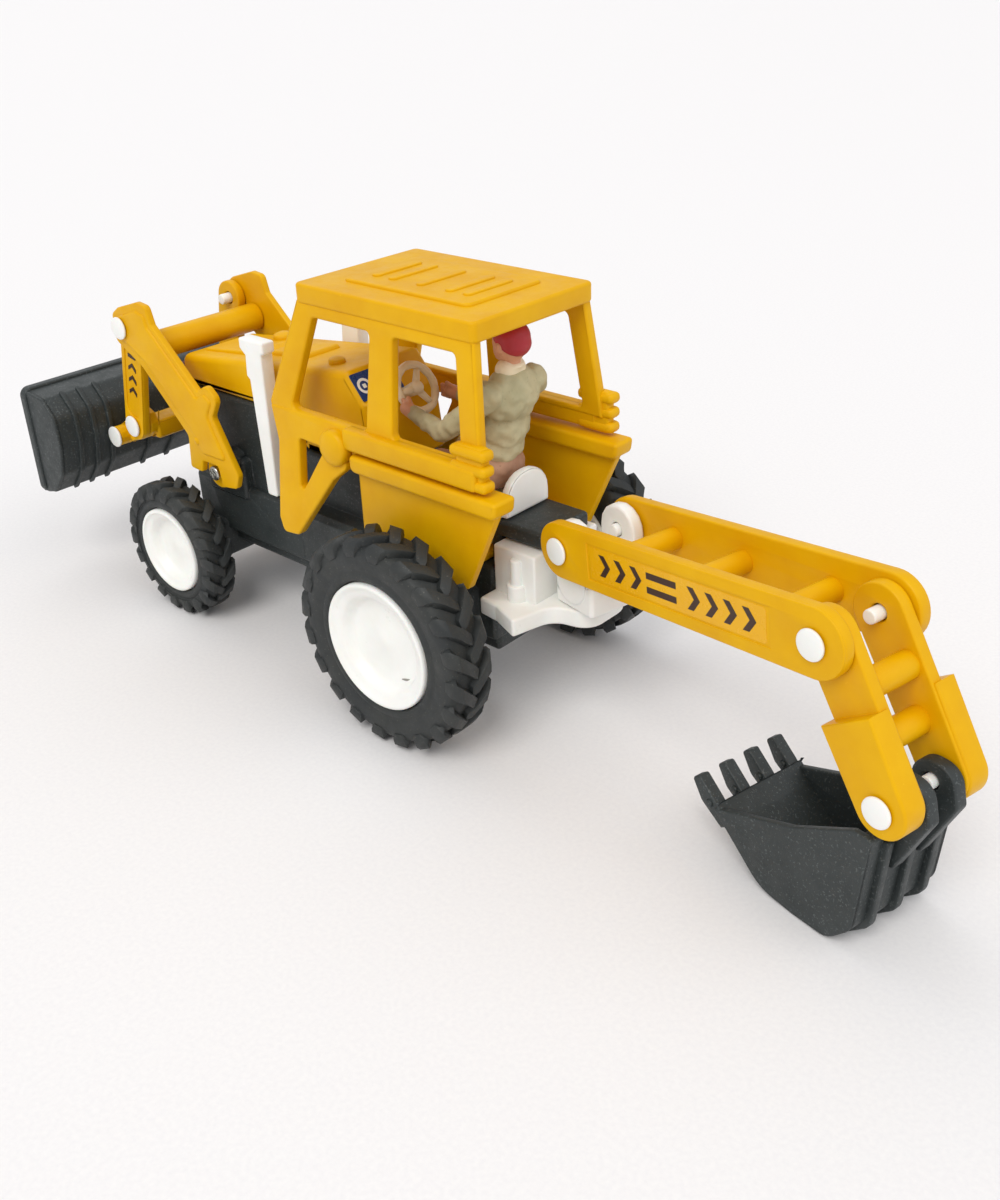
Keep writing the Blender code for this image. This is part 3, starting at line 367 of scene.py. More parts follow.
def plate(outline, span, axis="Y", holes=(), edge=0.4, rings=2):
    """A flat moulding with round edges, in millimetres, made from a filled outline."""
    curve = bpy.data.curves.new("outline", "CURVE")
    curve.dimensions = "2D"
    curve.fill_mode = "BOTH"
    curve.extrude = (span[1] - span[0]) / 2 - edge
    curve.bevel_depth = edge
    curve.bevel_resolution = rings
    curve.offset = -edge
    for loop in (outline, *holes):
        spline = curve.splines.new("POLY")
        spline.points.add(len(loop) - 1)
        for point, place in zip(spline.points, loop):
            point.co = (place[0], place[1], 0.0, 1.0)
        spline.use_cyclic_u = True
    guide = placed("outline", curve)
    bpy.context.view_layer.update()
    graph = bpy.context.evaluated_depsgraph_get()
    mesh = bpy.data.meshes.new_from_object(guide.evaluated_get(graph))
    bpy.data.objects.remove(guide, do_unlink=True)
    bm = bmesh.new()
    bm.from_mesh(mesh)
    bmesh.ops.remove_doubles(bm, verts=bm.verts, dist=1e-3)
    middle = (span[0] + span[1]) / 2
    shift = {"X": (middle, 0, 0), "Y": (0, middle, 0), "Z": (0, 0, middle)}[axis]
    bm.transform(Matrix.Translation(shift) @ AXES[axis])
    return mesh_of(bm)


def reshape(mesh, move):
    for vertex in mesh.vertices:
        vertex.co = Vector(move(vertex.co))


def mirrored(mesh, side, place=Matrix.Identity(4)):
    """Moves a mesh made for the left side to the given side, and then by place."""
    mesh.transform(place @ Matrix.Diagonal((1, side, 1, 1)))
    if side < 0:
        mesh.flip_normals()
    return mesh


def block(x, y, z, edge=0.5):
    """A box with round edges."""
    bm = bmesh.new()
    bmesh.ops.create_cube(bm, size=1.0)
    size = Vector((x[1] - x[0], y[1] - y[0], z[1] - z[0]))
    middle = Vector((x[0] + x[1], y[0] + y[1], z[0] + z[1])) / 2
    bm.transform(Matrix.Translation(middle) @ Matrix.Diagonal((*size, 1.0)))
    bmesh.ops.bevel(bm, geom=bm.edges[:], offset=edge, segments=3, affect="EDGES", profile=0.5)
    return mesh_of(bm)


def bar(centre, low, high, radius, axis="Y", edge=0.4, dome=0.0):
    """A round bar along an axis, with round rims and, if asked, a domed high end."""
    bm = bmesh.new()
    steps = 40
    quarter = [math.pi / 2 * k / 3 for k in range(4)]
    core, shoulder = radius - edge, high - dome - edge
    profile = [(0.0, low)]
    profile += [(core + edge * math.sin(t), low + edge - edge * math.cos(t)) for t in quarter]
    profile += [(core + edge * math.cos(t), shoulder + edge * math.sin(t)) for t in quarter]
    if dome:
        profile += [(core * share, high - dome * share * share) for share in (0.75, 0.5, 0.25)]
    profile.append((0.0, high))
    rings = []
    for r, h in profile:
        if r == 0.0:
            rings.append([bm.verts.new((0, 0, h))] * steps)
        else:
            rings.append([bm.verts.new((r * math.cos(FULL_TURN * k / steps),
                                        r * math.sin(FULL_TURN * k / steps), h))
                          for k in range(steps)])
    for a, b in zip(rings, rings[1:]):
        for k in range(steps):
            face = list(dict.fromkeys([a[k], a[(k + 1) % steps], b[(k + 1) % steps], b[k]]))
            if len(face) > 2:
                bm.faces.new(face)
    shift = {"X": (0, *centre), "Y": (centre[0], 0, centre[1]), "Z": (*centre, 0)}[axis]
    turn = {"X": Matrix.Rotation(math.pi / 2, 4, "Y"), "Y": Matrix.Rotation(-math.pi / 2, 4, "X"),
            "Z": Matrix.Identity(4)}[axis]
    bm.transform(Matrix.Translation(shift) @ turn)
    return mesh_of(bm)


def gathered(node, parts, side=1, swung=False, sharp=40):
    """Shows several millimetre meshes as one piece in place of a CAD node, on the given side."""
    bm = bmesh.new()
    for part in parts:
        bm.from_mesh(part)
    place = Matrix.Diagonal((1, side, 1, 1))
    if swung:
        place = SWING @ place
    bm.transform(TO_WORLD @ place)
    if side < 0:
        bmesh.ops.reverse_faces(bm, faces=bm.faces)
    shown_for(node, smooth_mesh(bm, sharp))


# ---- cab and body

ROOF_TOP = 113.9
ROOF_BOTTOM = 107.8
SILL_Z = 79.0
SILL_Y = 25.0
EAVE_Y = 22.0
LEAN_IN = (SILL_Y - EAVE_Y) / (ROOF_BOTTOM - SILL_Z)  # above the sill, per millimetre of height
LEAN_OUT = 5.0 / 36.0  # below the sill


def cab_side_parts():
    """The cab's left side: windows, strut, sill beam, knuckle and the ribbed rear corner."""
    upper = plate(
        rounded([(-22.3, 77, 0.5), (-18.7, 108.6, 0.5), (43.9, 108.6, 0.5), (56.3, 79.4, 2),
                 (55.6, 77, 0.5)]),
        (SILL_Y - 3.0, SILL_Y),
        holes=(
            rounded([(47.4, 79, 1.5), (37.9, 104.7, 1.5), (16.4, 104.7, 1.5), (17.8, 79, 1.5)]),
            rounded([(8.3, 79, 1.5), (8.3, 104.7, 1.5), (-12.9, 104.7, 1.5), (-15.7, 79, 1.5)]),
        ), edge=0.75, rings=3,
    )
    reshape(upper, lambda v: (v.x, v.y - (v.z - SILL_Z) * LEAN_IN, v.z))
    lower = plate(
        rounded([(-19.6, 78.9, 0.5), (-19.6, 73.2, 0.5), (27, 73.0, 0), (24.5, 67.5, 2),
                 (30, 63, 0), (44.3, 43.6, 2), (50.5, 43.0, 2), (52.5, 47, 1), (52.6, 69, 3),
                 (56, 78.9, 0.8)]),
        (SILL_Y - 2.9, SILL_Y + 0.25),
        holes=(rounded([(44, 71.5, 1.2), (33.5, 71.0, 1.2), (43.2, 55.5, 1.0)]),),
        edge=0.7, rings=3,
    )
    reshape(lower, lambda v: (v.x, v.y + (SILL_Z - v.z) * LEAN_OUT, v.z))
    beam = block((-22, 25), (SILL_Y - 2, SILL_Y + 2.4), (73.0, SILL_Z), 1.1)
    knuckle = bar((28.8, 72.5), SILL_Y - 1, SILL_Y + 3.8, 5.0, edge=1.4, dome=0.4)
    parts = [upper, lower, beam, knuckle, block((-23.6, -14.8), (22.8, 26.0), (72.8, 84.2), 0.8)]
    for k in range(3):
        z = 73.0 + 4.0 * k
        parts.append(block((-25.0, -13.4), (22.4, 27.0), (z, z + 2.9), 1.2))
    return parts


def build_cab():
    parts = [
        plate(
            rounded([(-19.4, -22.4, 1.8), (43.8, -22.4, 1.8), (43.8, 22.4, 1.8),
                     (-19.4, 22.4, 1.8)]),
            (ROOF_BOTTOM, ROOF_TOP - 0.8), axis="Z", edge=0.9, rings=4,
        ),
        plate(
            rounded([(-10, -14, 2), (34, -14, 2), (34, 14, 2), (-10, 14, 2)]),
            (ROOF_TOP - 2.4, ROOF_TOP), axis="Z", edge=0.7, rings=3,
        ),
        block((38.5, 43), (-20.5, 20.5), (103.5, 109), 0.9),
    ]
    for x in (28.0, 22.0, 12.0, 2.0, -4.0):
        parts.append(plate(rectangle(x, 0, 1.4, 8.5, 1.3), (ROOF_TOP - 0.6, ROOF_TOP + 0.5),
                           axis="Z", edge=0.35))
    for _, side in SIDES:
        parts += [mirrored(part, side) for part in cab_side_parts()]
    gathered("cab_frame", parts, sharp=50)


def build_rear_body():
    parts = [
        block((-10, 22), (-24.4, 24.4), (45, 47), 0.5),
        block((19.6, 22), (13.4, 24.4), (45.2, 60), 0.6),
        block((19.6, 22), (-24.4, -13.4), (45.2, 60), 0.6),
    ]
    for _, side in SIDES:
        skirt = plate(
            rounded([(22, 70, 0.4), (22, 44, 1.0), (-16.1, 44, 2.0), (-28.4, 71, 1.0)]),
            (22.6, 25.2), edge=0.55, rings=3,
        )
        shelf = plate(
            rounded([(22.8, 67.3, 2), (22.8, 72.0, 1), (-28.8, 72.0, 1), (-28.2, 67.3, 2)]),
            (19.8, 27.6), edge=1.1, rings=4,
        )
        parts += [mirrored(skirt, side), mirrored(shelf, side)]
    gathered("rear_body", parts)


HOOD_NOSE = (113.0, 79.0)
HOOD_BACK = (36.5, 88.3)
DASH_FOOT = (29.5, 80.0)


def build_hood():
    shell = plate(
        rounded([(HOOD_NOSE[0], 70.0, 0.8), (*HOOD_NOSE, 3.0), (*HOOD_BACK, 1.5),
                 (*DASH_FOOT, 0.5), (27.0, 61.0, 0.8), (57.5, 61.0, 0.8), (57.5, 70.0, 0.5)]),
        (-14.0, 14.0), edge=2.2, rings=6,
    )
    slope = (HOOD_BACK[1] - HOOD_NOSE[1]) / (HOOD_BACK[0] - HOOD_NOSE[0])

    def top(x):
        return HOOD_NOSE[1] + (x - HOOD_NOSE[0]) * slope

    ridge = plate(
        rounded([(108.5, top(108.5) - 1, 0), (107.0, top(107.0) + 0.9, 1.5),
                 (84, top(84) + 1.1, 2), (80.0, top(80) - 1, 0)]), (-8.6, 8.6), edge=0.9, rings=4,
    )
    pad = plate(
        rounded([(78.5, top(78.5) - 1, 0), (77.5, top(77.5) + 1.4, 1.5),
                 (61.5, top(61.5) + 1.2, 1.5), (60.5, top(60.5) - 1, 0)]), (-6.4, 6.4),
        edge=0.9, rings=4,
    )
    filler = bar((88, -7), 80, 85.3, 3.2, "Z", edge=0.9, dome=0.6)
    knob = bar((47, 7.5), 84.5, 88.9, 2.4, "Z", edge=0.7, dome=0.4)
    gathered("hood", [shell, ridge, pad, filler, knob])


def build_exhausts():
    for name, side in SIDES:
        stack = plate(
            rounded([(73.5, 89.8, 0.3), (73.5, 92.8, 0.6), (63.0, 92.8, 0.6), (63.0, 89.7, 0.3),
                     (64.2, 89.0, 0.5), (64.8, 46, 1.0), (69.2, 46, 1.0), (70.6, 81.0, 0),
                     (71.8, 82.0, 0.3), (71.3, 88.0, 0)]),
            (15.9, 20.4), edge=0.6, rings=3,
        )
        foot = block((64.9, 69.1), (14.3, 17.0), (52, 58), 0.4)
        gathered(f"exhaust_{name}", [stack, foot], side)


# ---- loader and backhoe plates

# Hinge centres as (x, z); the last three before the backhoe is swung.
LOADER_PIVOT = (92.0, 47.5)
UPPER_PIN = (128.5, 86.8)
LOWER_PIN = (136.3, 52.2)
TILT_PIN = (148.3, 45.8)
BOOM_PIN = (-39.0, 56.8)
ELBOW_PIN = (-119.5, 67.7)
TIP_PIN = (-139.5, 39.0)
PIN_BORE = 2.0


def build_loader_arm(name, side):
    outline = rounded([
        (133.5, 82.0, 3), (133.0, 90.5, 2), (129.5, 92.8, 1.5), (119.0, 96.0, 2.5),
        (114.2, 95.5, 2), (112.6, 90.0, 1), (93.8, 73.2, 1), (89.3, 76.3, 2.5),
        (84.6, 72.4, 2.5), (88.2, 66.3, 2), (79.2, 49.8, 2), (81.0, 45.2, 2), (87.8, 44.2, 1),
        (89.0, 50.6, 1), (96.4, 50.6, 1), (97.6, 46.6, 1), (103.4, 47.0, 1), (102.2, 57.6, 2),
        (121.2, 75.6, 3),
    ])
    web = plate(outline, (20.8, 23.0), holes=(disc(UPPER_PIN, PIN_BORE),), edge=0.5, rings=3)
    spine = plate(rounded([
        (131.4, 84.2, 3), (130.6, 90.0, 2), (119.2, 93.8, 2), (115.2, 92.8, 1.5),
        (114.2, 89.2, 1), (94.4, 71.2, 1.5), (90.4, 73.6, 1.5), (87.0, 71.4, 1.5),
        (90.2, 66.2, 2), (83.5, 53.2, 1.5), (95.2, 53.2, 1.5), (98.6, 58.6, 2), (118.8, 77.6, 3),
    ]), (21.2, 23.6), holes=(disc(UPPER_PIN, PIN_BORE),), edge=1.0, rings=4)
    eye = bar(LOADER_PIVOT, 17.5, 21.0, 5.2, edge=0.5)
    stud = bar((97.2, 57.2), 23.0, 24.0, 1.2, edge=0.35, dome=0.2)
    gathered(f"loader_arm_{name}", [web, spine, eye, stud], side)


def build_loader_link(name, side):
    """A strap with a raised rim round a long recess."""
    bores = (disc(UPPER_PIN, PIN_BORE), disc(LOWER_PIN, PIN_BORE))
    web = plate(strap(UPPER_PIN, LOWER_PIN, 5.4, 4.9), (17.6, 20.1), holes=bores, edge=0.5,
                rings=3)
    start = Vector(UPPER_PIN).lerp(Vector(LOWER_PIN), 0.22)
    end = Vector(UPPER_PIN).lerp(Vector(LOWER_PIN), 0.81)
    rim = plate(strap(UPPER_PIN, LOWER_PIN, 5.3, 4.8), (19.4, 20.5),
                holes=(*bores, strap(start, end, 3.5, 3.5, 10)), edge=0.3, rings=2)
    gathered(f"loader_link_{name}", [web, rim], side)


def build_boom(name, side):
    """A strap with a raised rim round its label, and the cross tubes on the right one."""
    bores = (disc(BOOM_PIN, PIN_BORE), disc(ELBOW_PIN, PIN_BORE))
    web = plate(strap(BOOM_PIN, ELBOW_PIN, 7.3, 7.9), (9.8, 12.7), holes=bores, edge=0.6, rings=3)
    start = Vector(BOOM_PIN).lerp(Vector(ELBOW_PIN), 0.14)
    end = Vector(BOOM_PIN).lerp(Vector(ELBOW_PIN), 0.86)
    across = (end - start).orthogonal().normalized() * 4.6
    rim = plate(
        strap(BOOM_PIN, ELBOW_PIN, 7.2, 7.8), (12.0, 13.0),
        holes=(*bores, [start + across, end + across, end - across, start - across]),
        edge=0.3, rings=2,
    )
    parts = [web, rim]
    if side < 0:
        for x, z in ((-56, 59.5), (-79, 62.2), (-105, 65.8)):
            parts.append(bar((x, z), -9.5, 10.2, 2.9, edge=0.6))
    gathered(f"boom_{name}", parts, side, swung=True)


def build_stick(name, side):
    """A thin strap with a thicker lower half, and the cross tubes on the right one."""
    elbow, tip = Vector(ELBOW_PIN), Vector(TIP_PIN)
    down = (tip - elbow).normalized()
    across = down.orthogonal().normalized()
    step = elbow.lerp(tip, 0.47)
    upper = plate(strap(elbow, tip, 6.6, 6.0), (6.3, 9.5),
                  holes=(disc(ELBOW_PIN, PIN_BORE), disc(TIP_PIN, PIN_BORE)), edge=0.5, rings=3)
    outline = [step + across * 6.9, step - across * 6.9]
    first = math.atan2(-across.y, -across.x)
    for k in range(25):
        t = first + math.pi * k / 24
        outline.append(tip + 6.4 * Vector((math.cos(t), math.sin(t))))
    lower = plate(outline, (6.8, 13.0), holes=(disc(TIP_PIN, PIN_BORE),), edge=0.7, rings=4)
    parts = [upper, lower]
    if side < 0:
        for at in (elbow.lerp(tip, 0.33) - across * 2.4, elbow.lerp(tip, 0.66) + across * 0.5):
            parts.append(bar(at, -6.0, 6.8, 3.2, edge=0.6))
    gathered(f"stick_{name}", parts, side, swung=True)


def build_stabiliser():
    half = [(-13.6, 18.6, 1), (-20.1, 19.4, 2), (-28.7, 22.9, 0.8), (-31.6, 10.5, 6),
            (-42.4, 8.2, 6)]
    whole = half + [(x, -y, radius) for x, y, radius in reversed(half)]
    parts = [
        block((-28.0, -14.0), (-13, 13), (38.0, 52.0), 0.7),
        plate(rounded(whole), (33.6, 38.6), axis="Z", holes=(disc((-36.0, 0), 2.6),), edge=0.8,
              rings=4),
    ]
    for _, side in SIDES:
        for top, radius in ((50, 1.6), (43, 2.6)):
            parts.append(bar((-22, side * 13.2), 38, top, radius, "Z", edge=0.4))
    gathered("stabiliser", parts)


LOADER_BACK = [
    (170.4, 26.6, 0), (162.0, 28.2, 3), (155.5, 36.0, 4), (152.9, 46.0, 6), (153.2, 56.0, 5),
    (158.6, 61.6, 3), (169.6, 62.6, 0),
]


def beside(outline, distance):
    """The outline moved inwards, for an open outline that runs clockwise."""
    moved = []
    for i, here in enumerate(outline):
        before = Vector(outline[max(i - 1, 0)])
        after = Vector(outline[min(i + 1, len(outline) - 1)])
        along = (after - before).normalized()
        moved.append(Vector(here) + distance * Vector((along.y, -along.x)))
    return moved


def build_loader_bucket():
    back = rounded(LOADER_BACK)
    inner = beside(back, 1.8)
    parts = [plate(back + inner[::-1], (-38.4, 38.4), edge=0.3, rings=2)]
    for low, high in ((37.2, 39.0), (-39.0, -37.2)):
        parts.append(plate(back, (low, high), edge=0.55, rings=3))
    lip = [(-39.7, 26.2, 3.0), (39.7, 26.2, 3.0), (39.7, 63.4, 3.0), (-39.7, 63.4, 3.0)]
    hollow = [(-37.3, 28.4, 1.6), (37.3, 28.4, 1.6), (37.3, 61.2, 1.6), (-37.3, 61.2, 1.6)]
    parts.append(plate(rounded(lip), (167.8, 171.1), axis="X", holes=(rounded(hollow),),
                       edge=0.6, rings=3))
    rib = beside(back, -0.9)[3:-3] + beside(back, 0.6)[3:-3][::-1]
    for y in (-31.5, -25.5, -19.5, -5, 5, 19.5, 25.5, 31.5):
        parts.append(plate(rib, (y - 0.75, y + 0.75), edge=0.3, rings=2))
    x, z = TILT_PIN
    for _, side in SIDES:
        outline = [(x + 3.1 * math.cos(t), z + 3.1 * math.sin(t))
                   for t in (math.radians(70 + 11 * k) for k in range(21))]
        outline += [(154.5, z - 4.5), (154.5, z + 4.5)]
        parts.append(plate(outline, sorted((side * 10.5, side * 13.5)),
                           holes=(disc(TILT_PIN, PIN_BORE - 0.1),), edge=0.3, rings=2))
    gathered("loader_bucket", parts)


BUCKET_SIDE = [
    (-96.4, 13.6, 0.5), (-101.5, 9.6, 6), (-112.0, 0.8, 12), (-122.0, 0.1, 8),
    (-131.5, 0.3, 6), (-137.2, 6.5, 6), (-138.4, 22.0, 8), (-139.2, 31.8, 1.0),
    (-134.8, 31.8, 1.0), (-119.5, 22.8, 0.5),
]
BUCKET_SHELL = [
    (-97.4, 15.4, 0.3), (-102.2, 12.0, 5), (-112.4, 3.0, 10), (-122.0, 2.1, 7), (-130.8, 2.3, 5),
    (-135.2, 7.4, 5), (-136.5, 22.0, 7), (-136.9, 31.6, 0.3),
]


def build_backhoe_bucket():
    outer = rounded(BUCKET_SIDE, 10)
    parts = []
    for low, high in ((12.2, 14.0), (-14.0, -12.2)):
        parts.append(plate(outer, (low, high), edge=0.5, rings=3))
    shell = rounded(BUCKET_SIDE[:8], 10) + rounded(BUCKET_SHELL[::-1], 8)
    parts.append(plate(shell, (-13.9, 13.9), edge=0.3, rings=2))
    for k in range(4):
        y = 12.0 - 8.0 * k
        parts.append(plate(
            rounded([(-91.4, 19.6, 0.6), (-89.2, 18.0, 0.8), (-92.4, 13.2, 3), (-99.0, 9.2, 0),
                     (-101.5, 11.0, 0), (-96.6, 15.4, 2)]),
            (y - 1.6, y + 1.6), edge=0.5, rings=3,
        ))
        parts.append(bar((-95.2, 14.1), y - 2.2, y + 2.2, 1.0, edge=0.4))
    for y in (-8.5, 0, 8.5):
        parts.append(plate(
            rounded([(-124, 0.15, 0), (-132.4, 0.05, 5), (-138.7, 6.0, 5), (-139.9, 22.0, 4),
                     (-140.6, 30.0, 0.8), (-138, 29, 0), (-137.2, 9, 3), (-129, 1.4, 3)]),
            (y - 1.0, y + 1.0), edge=0.35, rings=2,
        ))
    x, z = TIP_PIN
    for _, side in SIDES:
        parts.append(plate(
            rounded([(x + 4.7, z - 8.6, 1), (x + 4.7, z + 4.7, 4.6), (x - 4.9, z + 4.7, 4.8),
                     (x - 7.0, z - 3.3, 2.0), (x + 0.6, z - 20, 1)]),
            sorted((side * 2.6, side * 6.0)), holes=(disc(TIP_PIN, PIN_BORE),), edge=0.5, rings=3,
        ))
    gathered("backhoe_bucket", parts, swung=True)


def build_rim_slot_shades():
    """A narrow grey sheet near the edge of each rear rim's dish: painted shade of a moulded slot.
    """
    for name, side in SIDES:
        a, b = Vector((-4.6, 20.3)), Vector((-11.0, 21.9))
        middle, along = (a + b) / 2, (b - a).normalized()
        across = along.orthogonal()
        outline = [
            middle + along * 3.3 * math.cos(t) + across * 0.42 * math.sin(t)
            for t in (FULL_TURN * k / 28 for k in range(28))
        ]
        mesh = mirrored(plate(outline, (39.2, 39.98), edge=0.1, rings=1), side, TO_WORLD)
        shown(f"rear_rim_slot_{name}", mesh, SLOT_PAINTED_SHADE, "rear_wheels")


PIN_CAP_RADIUS, PIN_CAP_DEPTH = 3.5, 1.1
PIN_SHANK_RADIUS = 1.65
PIN_OVERLAP = 0.6  # how far the shank reaches into the cap


def build_pins():
    """White snap pins: a domed cap on a plain shank."""
    for name, side in SIDES:
        for node, at, cap_y, tip_y, swung in (
            ("loader_upper_pin", UPPER_PIN, 25.0, 14.6, False),
            ("loader_link_pin", LOWER_PIN, 21.9, 14.3, False),
            ("loader_bucket_pin", TILT_PIN, 21.9, 10.0, False),
            ("boom_pivot_pin", BOOM_PIN, 14.4, 4.5, True),
            ("elbow_pin", ELBOW_PIN, 14.4, 3.4, True),
            ("stick_pin", TIP_PIN, 14.4, 1.2, True),
        ):
            cap = bar(at, cap_y - PIN_CAP_DEPTH, cap_y, PIN_CAP_RADIUS, edge=0.35, dome=0.3)
            shank = bar(at, tip_y, cap_y - PIN_OVERLAP, PIN_SHANK_RADIUS, edge=0.4)
            gathered(f"{node}_{name}", [cap, shank], side, swung)


# ---- wheels

def turned(bm, profile, centre, sides):
    """Adds a closed ring shape about a Y axis through centre (x, z) from (radius, y) points."""
    rings = []
    for r, y in profile:
        if r < 1e-6:
            rings.append([bm.verts.new((centre[0], y, centre[1]))] * sides)
            continue
        rings.append([
            bm.verts.new((centre[0] + r * math.sin(t), y, centre[1] + r * math.cos(t)))
            for t in (FULL_TURN * k / sides for k in range(sides))
        ])
    for a, b in zip(rings, rings[1:] + rings[:1]):
        for k in range(sides):
            corners = [a[k], a[(k + 1) % sides], b[(k + 1) % sides], b[k]]
            face = list(dict.fromkeys(corners))
            if len(face) > 2:
                bm.faces.new(face)


LUG_DEPTH = 2.6
LUG_FOOT, LUG_CROWN = 0.72, 0.5  # half widths, as shares of the lug's width


def lug(bm, centre, start, stations, width):
    """One tread bar, lofted over (turn, radius, y, slope, growth) stations.

    At slope 0 the bar stands out from the tread; a quarter turn on, it lies on the side wall.
    """
    loops = []
    for turn, r, y, slope, grow in stations:
        angle = start + turn
        loop = []
        for drop, half in ((LUG_DEPTH, width * grow * LUG_FOOT), (0.0, width * grow * LUG_CROWN)):
            for end in (-1, 1):
                rr = r - drop * math.cos(slope)
                yy = y - drop * math.sin(slope)
                t = angle + end * half / max(r, 1.0)
                loop.append(((centre[0] + rr * math.sin(t)), yy, centre[1] + rr * math.cos(t)))
        loops.append([bm.verts.new(p) for p in (loop[0], loop[2], loop[3], loop[1])])
    for a, b in zip(loops, loops[1:]):
        for k in range(4):
            bm.faces.new((a[k], a[(k + 1) % 4], b[(k + 1) % 4], b[k]))
    bm.faces.new(loops[0])
    bm.faces.new(loops[-1])


# A lug from the middle of the tread to the side wall: the turn along the tread, the drop below
# the crown, the place as a share of half the width, the slope, and the growth in width.
TREAD = (
    (0.00, 0.5, -0.16, 0.0, 0.75), (0.05, 0.0, 0.10, 0.0, 1.0), (0.13, 0.0, 0.45, 0.0, 1.0),
    (0.19, 0.1, 0.74, 0.15, 1.1), (0.225, 1.2, 0.92, 0.7, 1.2), (0.235, 2.9, 0.985, 1.2, 1.1),
    (0.24, 4.8, 0.97, 1.45, 0.7),
)
LUG_SHARE = 0.42  # of the pitch
HAIRLINE = 0.42 * MM  # in millimetres like the lugs: it only softens their shading
TYRE_SIDES, RIM_SIDES = 96, 72


def tyre_mesh(centre, crown, rim_r, outer, width, count, depth):
    """A ring with two staggered rows of lugs; outer is the y of its outer wall."""
    inner = outer - width
    middle = (outer + inner) / 2
    shoulder = crown - depth
    bore = rim_r + 0.15
    face = outer - 0.45
    bm = bmesh.new()
    profile = [
        (bore, face - 1.4), (bore + 0.4, face - 0.5), (bore + 1.2, face - 0.15),
        (bore + 2.2, face - 0.35), (bore + 2.8, face - 0.6), (bore + 3.6, face - 0.25),
        (shoulder - 3.2, face), (shoulder - 1.4, face - 0.35), (shoulder - 0.4, face - 1.3),
        (shoulder, face - 2.6), (shoulder + 0.25, middle), (shoulder, inner + 2.6),
        (shoulder - 0.4, inner + 1.6), (shoulder - 1.4, inner + 0.7),
        (shoulder - 3.2, inner + 0.4), (bore + 2.6, inner + 0.5), (bore, inner + 1.0),
    ]
    turned(bm, profile, centre, TYRE_SIDES)
    carcass = mesh_of(bm)
    lugs = bmesh.new()
    pitch = FULL_TURN / count
    for k in range(count):
        for half in (1, -1):
            stations = [
                (turn, crown - drop, middle + half * share * (width / 2), half * slope, grow)
                for turn, drop, share, slope, grow in TREAD
            ]
            start = pitch * (k + (0.5 if half < 0 else 0.0))
            lug(lugs, centre, start, stations, pitch * crown * LUG_SHARE)
    bm = bmesh.new()
    bm.from_mesh(carcass)
    bm.from_mesh(bevelled(mesh_of(lugs), HAIRLINE, 35))
    return smooth_mesh(bm, 40)


def rim_mesh(centre, lip, outer, inner):
    """A dished rim with its hub, from the hub's outer face round to its inner one."""
    bm = bmesh.new()
    dish = [
        (0, outer - 4.2), (1.8, outer - 4.22), (2.5, outer - 4.5), (lip * 0.45, outer - 4.6),
        (lip * 0.64, outer - 4.5), (lip * 0.69, outer - 4.2), (lip * 0.72, outer - 3.4),
        (lip * 0.76, outer - 1.9), (lip * 0.80, outer - 1.35), (lip * 0.85, outer - 1.15),
        (lip * 0.90, outer - 0.75), (lip - 1.1, outer - 0.15), (lip - 0.55, outer - 0.02),
        (lip - 0.12, outer - 0.3), (lip, outer - 0.9), (lip, inner + 0.8),
        (lip - 0.4, inner + 0.4), (lip - 1.6, inner + 0.4), (lip - 1.8, inner + 0.8),
        (lip - 1.8, outer - 5.2), (3.8, outer - 5.2), (3.6, outer - 5.6), (3.6, inner - 1.2),
        (3.3, inner - 1.5), (1.8, inner - 1.5), (1.8, outer - 6.4), (0, outer - 6.4),
    ]
    turned(bm, dish, centre, RIM_SIDES)
    bmesh.ops.remove_doubles(bm, verts=bm.verts, dist=1e-6)
    rim = mesh_of(bm)
    rim.set_sharp_from_angle(angle=math.radians(48))
    return rim


# Axle x, tyre radius, rim radius, y of the outer wall, width, lugs in a row, tread depth.
WHEELS = {
    "rear": (0.0, 30.0, 17.8, 44.4, 13.8, 20, 2.1),
    "front": (105.4, 21.9, 13.7, 35.2, 10.8, 18, 1.6),
}


def build_wheel(place, name, side):
    x, crown, rim_r, outer, width, count, depth = WHEELS[place]
    centre = (x, crown)
    tyre = tyre_mesh(centre, crown, rim_r, outer, width, count, depth)
    rim = rim_mesh(centre, rim_r, outer, outer - width)
    shown_for(f"{place}_tyre_{name}", mirrored(tyre, side, TO_WORLD))
    shown_for(f"{place}_rim_{name}", mirrored(rim, side, TO_WORLD))


# ---- driver

def capsule(bm, a, b, radius_a, radius_b):
    """A tapered bar with round ends."""
    a, b = Vector(a), Vector(b)
    aim = (b - a).to_track_quat("Z", "Y").to_matrix().to_4x4()
    for centre, radius in ((a, radius_a), (b, radius_b)):
        bmesh.ops.create_uvsphere(
            bm, u_segments=20, v_segments=12, radius=radius, matrix=Matrix.Translation(centre)
        )
    bmesh.ops.create_cone(
        bm, cap_ends=True, segments=20, radius1=radius_a, radius2=radius_b,
        depth=(b - a).length, matrix=Matrix.Translation((a + b) / 2) @ aim,
    )


def ball(bm, centre, radii, tilt=0.0):
    turn = Matrix.Rotation(tilt, 4, "Y")
    place = Matrix.Translation(centre) @ turn @ Matrix.Diagonal((*radii, 1))
    bmesh.ops.create_uvsphere(bm, u_segments=28, v_segments=18, radius=1.0, matrix=place)


